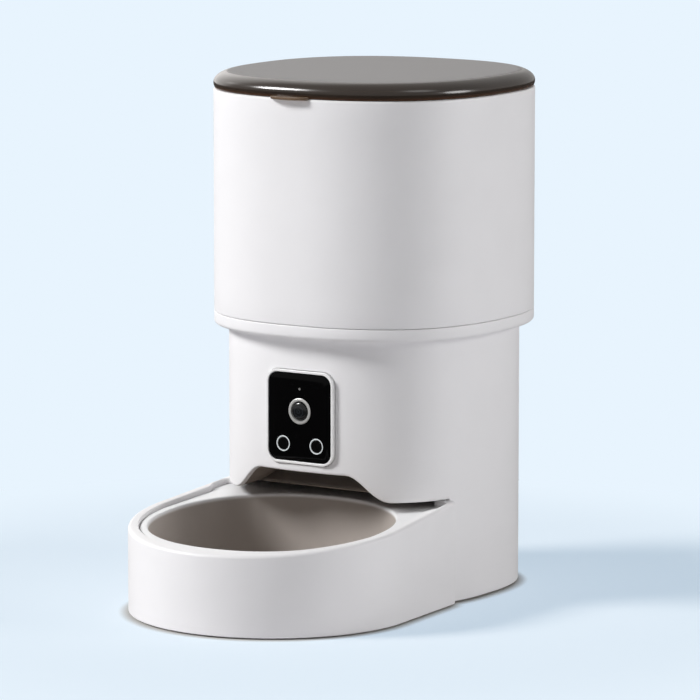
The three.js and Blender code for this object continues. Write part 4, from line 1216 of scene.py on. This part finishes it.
@dataclass
class Panel:
    """The camera panel: chrome bezel, black glass, lens, status dot and two buttons with ring lights."""

    corner: float = 8.5 * MM
    bezel: float = 1.8 * MM
    seam: float = 0.25 * MM
    soft: float = 0.2 * MM
    ledge: float = 3 * MM
    ledge_thick: float = 1.8 * MM
    step: float = 1.5 * MM
    gap: float = 0.3 * MM
    hole_gap: float = 0.15 * MM
    ring_inner: float = 5.8 * MM
    ring_soft: float = 0.5 * MM
    ring_flat: float = 1.7 * MM
    ring_dish: float = 1.6 * MM
    dome: float = 1.4 * MM
    button_radius: float = 4 * MM
    button_edge: tuple[Point, ...] = ((0.5, 0.04), (0.2, 0.06), (0.05, 0.16), (0, 0.35))
    light_inner: float = 4.3 * MM
    light_edge: float = 0.12 * MM

    def __post_init__(self) -> None:
        """Reads the glass's size from the frame."""
        self.low, self.high = span("panel_glass")

    def bezel_frame(self) -> None:
        """Builds the chrome bezel with a rounded front and the ledge that holds the glass."""
        low, high = span("panel_bezel")
        bend = rounded(self.soft, 0, 90, 5)
        inner, deep, shelf = self.bezel, self.bezel + self.ledge, self.high.y + self.gap
        dress(RoundedRect(low, high, self.corner).loft("camera_bezel", [
            (0, high.y), (0, high.y - self.step), (self.seam, high.y - self.step),
            *[(self.seam + self.soft - out, low.y + self.soft - up) for out, up in bend],
            *[(inner - self.soft + out, low.y + self.soft - up) for out, up in reversed(bend)],
            (inner, shelf), (deep, shelf), (deep, shelf + self.ledge_thick), (inner, shelf + self.ledge_thick),
            (inner, high.y),
        ], closed=True), CHROME, "base", "panel_bezel")

    def glass(self) -> None:
        """Builds the glossy black front with its round openings."""
        low, high = self.low, self.high
        plate = RoundedRect(low, high, self.corner - self.bezel - self.gap).loft("camera_glass", [
            (0.25 * MM, low.y), (0.07 * MM, low.y + 0.07 * MM), (0, low.y + 0.25 * MM), (0, high.y),
        ])
        tools = []
        for node in ("lens_ring", "indicator_window", "feed_light_ring", "pairing_light_ring"):
            one, other = span(node)
            radius, front, rear = (other.x - one.x) / 2 + self.hole_gap, low.y - 1 * MM, high.y + 1 * MM
            tools.append(turned("hole", [(0, front), (radius, front), (radius, rear), (0, rear)], (one + other) / 2))
        dress(shaped(plate, Work.CUT, *tools), GLASS, "base", "panel_glass")

    def ring(
        self, name: str, node: str, finish: Surface, body: str, profile: Callable[[float, float, float], Ring],
        steps: int = 96,
    ) -> None:
        """Turns a piece of the panel about its node's middle.

        Args:
            name: the piece's name.
            node: the node that it replaces.
            finish: its surface.
            body: the moving body that carries it.
            profile: gives pairs of radius and depth from the node's radius, front and rear.
            steps: how many pieces the turn is cut into.
        """
        low, high = span(node)
        stations = profile((high.x - low.x) / 2, low.y, high.y)
        dress(turned(name, stations, (low + high) / 2, steps), finish, body, node)

    def trim_profile(self, outer: float, front: float, rear: float) -> Ring:
        """Gives the profile of the ring round the lens: a rounded front and a dished inner side."""
        soft, inner, flat = self.ring_soft, self.ring_inner, outer - self.ring_flat
        return [
            (outer, rear), *[(outer - soft + out, front + soft - up) for out, up in rounded(soft, 0, 90, 6)],
            *[(flat - (flat - inner) * step / 6, front + self.ring_dish * (step / 6) ** 1.4) for step in range(7)],
            (inner, rear),
        ]

    def dome_profile(self, radius: float, front: float, rear: float) -> Ring:
        """Gives the profile of the lens's domed glass."""
        dome = [(radius * out, front + self.dome - self.dome * up) for up, out in quarter(16)]
        return [*dome, (radius, rear), (0, rear)]

    def cap_profile(self, flange: float, front: float, rear: float) -> Ring:
        """Gives the profile of a push button: a soft edge, and a flange hidden behind the glass."""
        radius, seat = self.button_radius, self.high.y + 0.5 * MM
        return [
            (0, front + 0.22 * MM), (radius * 0.6, front + 0.14 * MM),
            *[(radius - inset * MM, front + deep * MM) for inset, deep in self.button_edge],
            (radius, seat), (flange, seat), (flange, seat + 1 * MM), (radius, seat + 1 * MM), (radius, rear), (0, rear),
        ]

    def light_profile(self, outer: float, front: float, rear: float) -> Ring:
        """Gives the profile of a thin ring light."""
        inner, edge = self.light_inner, self.light_edge
        return [
            (inner, rear), (inner, front + edge), (inner + edge, front), (outer - edge, front), (outer, front + edge),
            (outer, rear),
        ]

    def build(self) -> None:
        """Builds and dresses every piece of the panel."""
        self.bezel_frame()
        self.glass()
        self.ring("lens_trim", "lens_ring", SILVER, "base", self.trim_profile, 128)
        self.ring("lens_dome", "lens", LensGlass(), "base", self.dome_profile)
        frame["nodes"]["indicator_window"].data.materials[0] = UNLIT.build()
        for name in ("feed", "pairing"):
            self.ring(f"{name}_cap", f"{name}_button", BUTTON, f"{name}_button", self.cap_profile)
            self.ring(f"{name}_ring_light", f"{name}_light_ring", LIGHT, "base", self.light_profile, 128)


@dataclass
class Underside:
    """What shows under the base: cross-recess screws and round rubber feet."""

    head: float = 3 * MM
    head_thick: float = 1 * MM
    head_soft: float = 0.3 * MM
    shank: float = 1.2 * MM
    cross_half: float = 1.7 * MM
    cross_wide: float = 0.35 * MM
    cross_deep: float = 0.7 * MM
    foot_round: float = 0.35 * MM

    def spread(self, name: str, one: Piece, finish: Surface, nodes: Sequence[str]) -> None:
        """Sets a copy of a piece in the middle of each node's lower face.

        Args:
            name: the new object's name.
            one: the piece, made at the origin.
            finish: its surface.
            nodes: the nodes that the copies replace.
        """
        corners = [span(node) for node in nodes]
        places = [((low.x + high.x) / 2, (low.y + high.y) / 2, low.z) for low, high in corners]
        dress(copied(name, one, places), finish, "base", *nodes)

    def screws(self) -> None:
        """Builds one screw and sets a copy in each sunk hole."""
        nodes = [f"base_screw_{number}" for number in range(1, 5)]
        low, high = span(nodes[0])
        length, soft = high.z - low.z, self.head_soft
        one = turned("screw", [
            (0, 0), (self.head - 2 * soft, 0), (self.head - soft / 2, soft / 3), (self.head, soft),
            (self.head, self.head_thick), (self.shank, self.head_thick), (self.shank, length - soft),
            (self.shank - soft, length), (0, length),
        ], Vector(), 48, upright=True)
        for x, y in ((self.cross_half, self.cross_wide), (self.cross_wide, self.cross_half)):
            shaped(one, Work.CUT, block("slot", (-x, -y, -1 * MM), (x, y, self.cross_deep)))
        self.spread("base_screws", one, STEEL, nodes)

    def feet(self) -> None:
        """Builds one foot and sets a copy at each place."""
        nodes = [f"foot_{number}" for number in range(1, 5)]
        low, high = span(nodes[0])
        radius, height, soft = (high.x - low.x) / 2, high.z - low.z, self.foot_round
        edge = [(radius - soft + out, soft + up) for out, up in rounded(soft, -90, 0, 4)]
        one = turned("foot", [(0, 0), *edge, (radius, height), (0, height)], Vector(), 64, upright=True)
        self.spread("rubber_feet", one, RUBBER, nodes)


@dataclass
class TrayPlan:
    """The outline that tray and bowl share: rear corners, a step out at the seam, and a rounded nose."""

    axis_y: float  # the hopper's centre line, from which every depth here is measured
    half: float = 90.3 * MM
    taper: float = 0.064
    nose_start: float = -114.3 * MM
    nose_reach: float = 90.3 * MM
    rise_from: float = -205 * MM
    rise_to: float = -40 * MM
    nose_steps: int = 72
    step_steps: int = 28
    corner_steps: int = 14
    flank_steps: int = 48
    rear_steps: int = 16

    def outline(
        self, inset: float, waist: float, rear: float, corner: float, step_rear: float, step_front: float,
        bay: float = 0.0, bay_front: float = 0.0, bay_rear: float = 1.0,
    ) -> Ring:
        """Gives the outline.

        Args:
            inset: how far inside the full nose it runs.
            waist: half the width behind the step.
            rear: the depth of the rear edge.
            corner: the radius of the rear corners.
            step_rear: where the step out starts.
            step_front: where it ends.
            bay: how much wider the outline is where the rim thins before the step.
            bay_front: where the rim starts to thin.
            bay_rear: where it is thin.

        Returns:
            The points in plan.
        """
        half, reach, start = self.half - inset, self.nose_reach - inset, self.nose_start

        def flank(depth: float) -> float:
            """Gives half the width at a depth ahead of the step."""
            thin = clamped((depth - bay_front) / (bay_rear - bay_front), 0.0, 1.0)
            return half - self.taper * (depth - start) + bay * ease(thin)

        right = [((waist - corner) * step / self.rear_steps, rear) for step in range(self.rear_steps)]
        right += [
            (waist - corner + corner * out, rear - corner + corner * up)
            for out, up in reversed(quarter(self.corner_steps))
        ]
        for step in range(self.step_steps + 1):
            share = step / self.step_steps
            depth = step_rear + share * (step_front - step_rear)
            right.append((waist + ease(share) * (flank(depth) - waist), depth))
        depths = [step_front + (start - step_front) * step / self.flank_steps for step in range(1, self.flank_steps)]
        right += [(flank(depth), depth) for depth in depths]
        right += [(half * out, start - reach * up) for out, up in quarter(self.nose_steps)[:-1]]
        whole = [*right, (0, start - reach), *[(-x, y) for x, y in reversed(right[1:])]]
        return [(x, y + self.axis_y) for x, y in whole]

    def sloped(self, start: float, rise: float) -> Rule:
        """Gives a height that climbs from the nose towards the seam."""
        return lambda _, y: start + rise * (clamped(y - self.axis_y, self.rise_from, self.rise_to) - self.rise_from)


@dataclass
class Tray:
    """The white tray: rounded tub with a rolled rim, and the tongue that slides into the recess."""

    plan: TrayPlan
    seam: float = -40.2 * MM
    waist: float = 75.9 * MM
    rear: float = -7.7 * MM
    corner: float = 14 * MM
    bottom: float = 0.8 * MM
    floor: float = 3 * MM
    rim_start: float = 48.4 * MM
    rise: float = 0.091
    crest: float = 2.4 * MM
    rim_width: float = 6.6 * MM
    rim_round: float = 2.5 * MM
    inner_round: float = 0.7 * MM
    foot_round: float = 1.0 * MM
    tongue_floor: float = 5.2 * MM
    cavity_waist: float = 70.9 * MM
    cavity_rear: float = -11.7 * MM
    cavity_corner: float = 12 * MM
    step_rear: float = -41.4 * MM
    step_front: float = -46.5 * MM
    bay: float = 3.6 * MM
    bay_front: float = -68 * MM
    bay_rear: float = -57.5 * MM

    def outside(self, inset: float) -> Ring:
        """Gives the tub's outline at an inset."""
        return self.plan.outline(inset, self.waist - inset, self.rear - inset, self.corner, self.seam, self.seam)

    def inside(self, inset: float) -> Ring:
        """Gives the outline of the hollow that takes the bowl."""
        return self.plan.outline(
            self.rim_width + inset, self.cavity_waist - inset, self.cavity_rear - inset, self.cavity_corner,
            self.step_rear, self.step_front, self.bay, self.bay_front, self.bay_rear,
        )

    def build(self) -> None:
        """Builds the tray."""
        shift, soft, top = self.plan.axis_y, self.inner_round, self.rim_start + self.crest
        middle = (0.0, self.plan.nose_start + shift)

        def rim(height: float) -> Rule:
            """Gives a height that climbs as the rim does."""
            return self.plan.sloped(height, self.rise)

        tub = skin("tray_tub", [
            *[(self.outside(self.foot_round - out), self.bottom + self.foot_round + up)
              for out, up in rounded(self.foot_round, -90, 0, 6)],
            *[(self.outside(self.rim_round * (1 - out)), rim(self.rim_start + self.crest * up))
              for out, up in quarter(10)],
            (self.outside(self.rim_round * 1.6), rim(top)),
        ], middle)
        hollow = skin("hollow", [
            (self.inside(0), self.bottom + self.floor),
            *[(self.inside(-soft * (1 - out)), rim(top - soft * (1 - up) + 0.02 * MM)) for out, up in quarter(6)],
            (self.inside(-soft), rim(top + 9 * MM)),
        ], middle)
        shaped(tub, Work.CUT, hollow)
        tongue = block(
            "tongue_floor", (-self.cavity_waist, self.seam - self.floor + shift, self.bottom),
            (self.cavity_waist, self.rear - self.corner + shift, self.tongue_floor + self.floor),
        )
        shaped(tub, Work.JOIN, tongue)
        below = block(
            "below", (-95 * MM, self.seam - 0.3 * MM + shift, 0), (95 * MM, 5 * MM + shift, self.tongue_floor),
        )
        shaped(tub, Work.CUT, below)
        smooth(tub, 30)
        dress(tub, WHITE, "tray", "tray")


@dataclass
class Bowl:
    """The lift-out bowl: a flange that follows the tray's rim, and an oval basin with a round foot."""

    tray: Tray
    groove: float = 0.7 * MM
    lip: float = 49.8 * MM
    rise: float = 0.0745
    lip_drop: float = 3 * MM
    lip_edge: float = 0.4 * MM
    lip_round: float = 0.8 * MM
    wall: float = 2.2 * MM
    floor: float = 2.5 * MM
    half_x: float = 77.5 * MM
    half_y: float = 71 * MM
    centre: float = -117 * MM
    power: float = 2.15
    brim_round: float = 1.2 * MM
    foot_inset: float = 18 * MM
    belly_inset: float = 1 * MM
    belly_height: float = 14 * MM

    def ring(self, inset: float) -> Ring:
        """Gives the flange's outline at an inset."""
        return self.tray.inside(self.groove + inset)

    def basin(self, inset: float) -> Ring:
        """Gives the basin's oval at an inset, a point for each point of the flange."""
        oval = Section(self.half_x, self.half_y, self.power, self.tray.plan.axis_y + self.centre)
        return [oval.at(x / oval.half_x, (y - oval.centre_y) / oval.half_y, inset) for x, y in self.ring(0)]

    def build(self) -> None:
        """Builds the bowl, from the middle of its foot up the outside, over the flange and down the basin."""
        low, middle = span("bowl")[0].z, self.tray.plan.axis_y + self.centre
        top, belly, floor = self.tray.plan.sloped(self.lip, self.rise), low + self.belly_height, low + self.floor
        inner, brim, soft = self.belly_inset + self.wall, self.brim_round / 2, self.lip_round

        def wall(drop: float, share: float = 1.0) -> Rule:
            """Gives the height at a share of the way from the belly to a drop below the flange."""
            return lambda x, y: belly + (top(x, y) - drop - belly) * share

        spread = self.foot_inset - self.belly_inset
        foot = [
            (self.basin(self.foot_inset - spread * up), low + self.belly_height * (1 - out)) for out, up in quarter(10)
        ]
        outside = [
            (self.basin(self.belly_inset - inner * step / 8), wall(self.lip_drop, step / 8)) for step in range(1, 9)
        ]
        lip = [
            (self.ring(self.lip_edge), wall(self.lip_drop)), (self.ring(0), wall(self.lip_drop - self.lip_edge)),
            *[(self.ring(soft - out), wall(soft - up)) for out, up in rounded(soft, 0, 90, 8)],
            *[(self.basin(out - brim), wall(2 * brim - up)) for out, up in rounded(2 * brim, 90, 0, 8)],
        ]
        inside = [
            (self.basin(brim + (inner - brim) * step / 10), wall(2 * brim, 1 - step / 10))
            for step in range(1, 11)
        ]
        bottom = [
            (self.basin(inner + self.foot_inset * (1 - out)), floor + (belly - floor) * (1 - up))
            for out, up in quarter(12, 1)
        ]
        made = skin("bowl_insert", [*foot, *outside, *lip, *inside, *bottom], (0.0, middle))
        smooth(made, 50)
        # The basin's warm grey is painted shade.
        dress(made, BowlWithPaintedShade(lip=top(0, middle) - self.rise * middle, rise=self.rise), "bowl", "bowl")


# Studio


@dataclass(frozen=True)
class Lamp:
    """A soft round lamp that faces the feeder."""

    name: str
    turn_deg: float  # from straight ahead of the feeder, to the right
    rise_deg: float
    away: float
    size: float
    level: float  # how bright it makes a white face turned to it, where 1 is white

    def build(self) -> None:
        """Sets up the lamp."""
        data = bpy.data.lights.new(self.name, "AREA")
        data.shape, data.size = "DISK", self.size
        data.energy = self.level * (math.pi * self.away) ** 2
        turn, rise = math.radians(self.turn_deg), math.radians(self.rise_deg)
        toward = Vector((math.sin(turn) * math.cos(rise), -math.cos(turn) * math.cos(rise), math.sin(rise)))
        made = linked(self.name, data)
        made.location = AIM + self.away * toward
        made.rotation_euler = (-toward).to_track_quat("-Z", "Y").to_euler()


@dataclass
class Studio:
    """Floor, lights and the camera of the photograph."""

    pale: str = "e8f4fe"
    mirror: str = "55514e"  # what gloss picks up from the floor
    sheen: str = "c0bebc"  # what gloss picks up from the room
    glow: float = 3.0  # how much brighter that is towards glow_way
    glow_way: tuple[float, float, float] = (-0.83, 0.46, 0.31)
    glow_from: float = 0.78  # the cosine at which the glow starts
    glow_full: float = 0.95
    bounce: str = "e4e4e8"  # the floor's colour for the light that it throws back
    shade_share: float = 0.47  # how much of the floor's light the lamps give, so that it can be shaded
    shade_tint: tuple[float, float, float] = (1.17, 1.0, 0.85)
    shade_near: float = 0.24  # where the shade starts to fade
    shade_far: float = 0.44
    contact: float = 7 * MM
    paper_gain: float = 1.01
    level: float = 0.135  # the room's even light
    target: Vector = field(default_factory=lambda: Vector((-13.01, 45.53, 148.63)) * MM)
    eye: Vector = field(default_factory=lambda: Vector((1700.79, -2599.29, 616.66)) * MM)
    lens_mm: float = 258.8
    lamps: tuple[Lamp, ...] = (
        Lamp("key", -49, 35, 7.0, 2.1, 0.945), Lamp("side", -95, 28, 3.0, 0.6, 0.012),
        Lamp("fill", 110, 15, 6.0, 2.6, 0.375), Lamp("overhead", 84, 55, 3.0, 1.2, 0.07),
    )

    def camera(self) -> None:
        """Places the camera that was fitted to the photograph."""
        data = bpy.data.cameras.new("view")
        data.lens, data.sensor_width, data.clip_end = self.lens_mm, 36, 40
        made = linked("view", data)
        made.location = self.eye
        made.rotation_euler = (self.target - self.eye).to_track_quat("-Z", "Y").to_euler()
        bpy.context.scene.camera = made

    def paper(self) -> bpy.types.Material:
        """Builds the floor's pale paper, which shows the feeder's shadow near it and one even colour further off.

        Returns:
            The material.
        """
        made = bpy.data.materials.new("studio_paper")
        graph = Graph.of(made)
        place, path, pale = graph.place(), graph.add("ShaderNodeLightPath"), linear(self.pale)
        shares = [self.shade_share * part for part in self.shade_tint]
        near_by = graph.add("ShaderNodeAmbientOcclusion", {"Distance": self.contact}).outputs["AO"]
        always = (*[channel * (1 - share) for channel, share in zip(pale, shares)], 1)
        lit = graph.shader("Emission", Color=always, Strength=graph.maths("POWER", near_by, 3.0))
        shaded = [channel * share * self.paper_gain for channel, share in zip(pale, shares)]
        tint = graph.blend(graph.noise(place, 250), (*shaded, 1), (*[channel * 0.99 for channel in shaded], 1))
        near = graph.add("ShaderNodeAddShader", {0: lit, 1: graph.shader("BsdfDiffuse", Color=tint)}).outputs[0]
        far = graph.ramp(graph.vectors("LENGTH", place), self.shade_near, self.shade_far, smooth=True)
        seen = graph.mixed(far, near, graph.shader("Emission", Color=pale, Strength=1.0))
        back = graph.shader("BsdfDiffuse", Color=linear(self.bounce))
        gloss = graph.shader("Emission", Color=linear(self.mirror), Strength=1.0)
        first = graph.mixed(path.outputs["Is Camera Ray"], back, seen)
        graph.add("ShaderNodeOutputMaterial", {"Surface": graph.mixed(graph.mirrored(path), first, gloss)})
        return made

    def floor(self) -> None:
        """Lays the round pale floor."""
        radius, steps = 8.0, 64
        verts = [(radius * math.cos(turn), radius * math.sin(turn), 0.0) for turn in circle(steps)]
        mesh = mesh_of("floor", verts, [tuple(range(steps))])
        mesh.materials.append(self.paper())
        linked("floor", mesh)

    def room(self) -> None:
        """Fills the room with even light, and shows the floor's own colour behind the feeder."""
        made = bpy.data.worlds.new("room_light")
        bpy.context.scene.world = made
        graph = Graph.of(made)
        path, way = graph.add("ShaderNodeLightPath"), graph.add("ShaderNodeTexCoord").outputs["Generated"]
        toward = graph.vectors("DOT_PRODUCT", way, self.glow_way)
        glow = graph.ramp(toward, self.glow_from, self.glow_full, 1.0, self.glow, smooth=True)
        fill = graph.shader("Background", Color=linear("ffffff"), Strength=self.level)
        shine = graph.shader("Background", Color=linear(self.sheen), Strength=glow)
        seen = graph.shader("Background", Color=linear(self.pale), Strength=1.0)
        both = graph.mixed(graph.mirrored(path), fill, shine)
        graph.add("ShaderNodeOutputWorld", {"Surface": graph.mixed(path.outputs["Is Camera Ray"], both, seen)})

    def build(self) -> None:
        """Sets up the whole studio."""
        bpy.context.scene.view_settings.view_transform = "Standard"
        self.camera()
        self.floor()
        self.room()
        for lamp in self.lamps:
            lamp.build()


def dress_frame() -> None:
    """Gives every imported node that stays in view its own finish, by its material slot."""
    for row in frame["record"]["subparts"]:
        node = frame["nodes"][row["node"]]
        node.data.materials.clear()
        node.data.materials.append(BY_SLOT[row["material_slot"]].build())


def main() -> None:
    """Builds every sub-assembly in order and reports each piece."""
    logging.basicConfig(level=logging.INFO, format="%(name)s: %(message)s")
    dress_frame()
    hopper = Hopper()
    hopper.sleeve()
    hopper.funnel()
    Lid(hopper.section, hopper.high).build()
    base = Base(hopper.section)
    base.build()
    base.liner()
    Panel().build()
    tray = Tray(TrayPlan(hopper.section.centre_y))
    tray.build()
    Bowl(tray).build()
    underside = Underside()
    underside.screws()
    underside.feet()
    Studio().build()


if __name__ == "__main__":
    main()
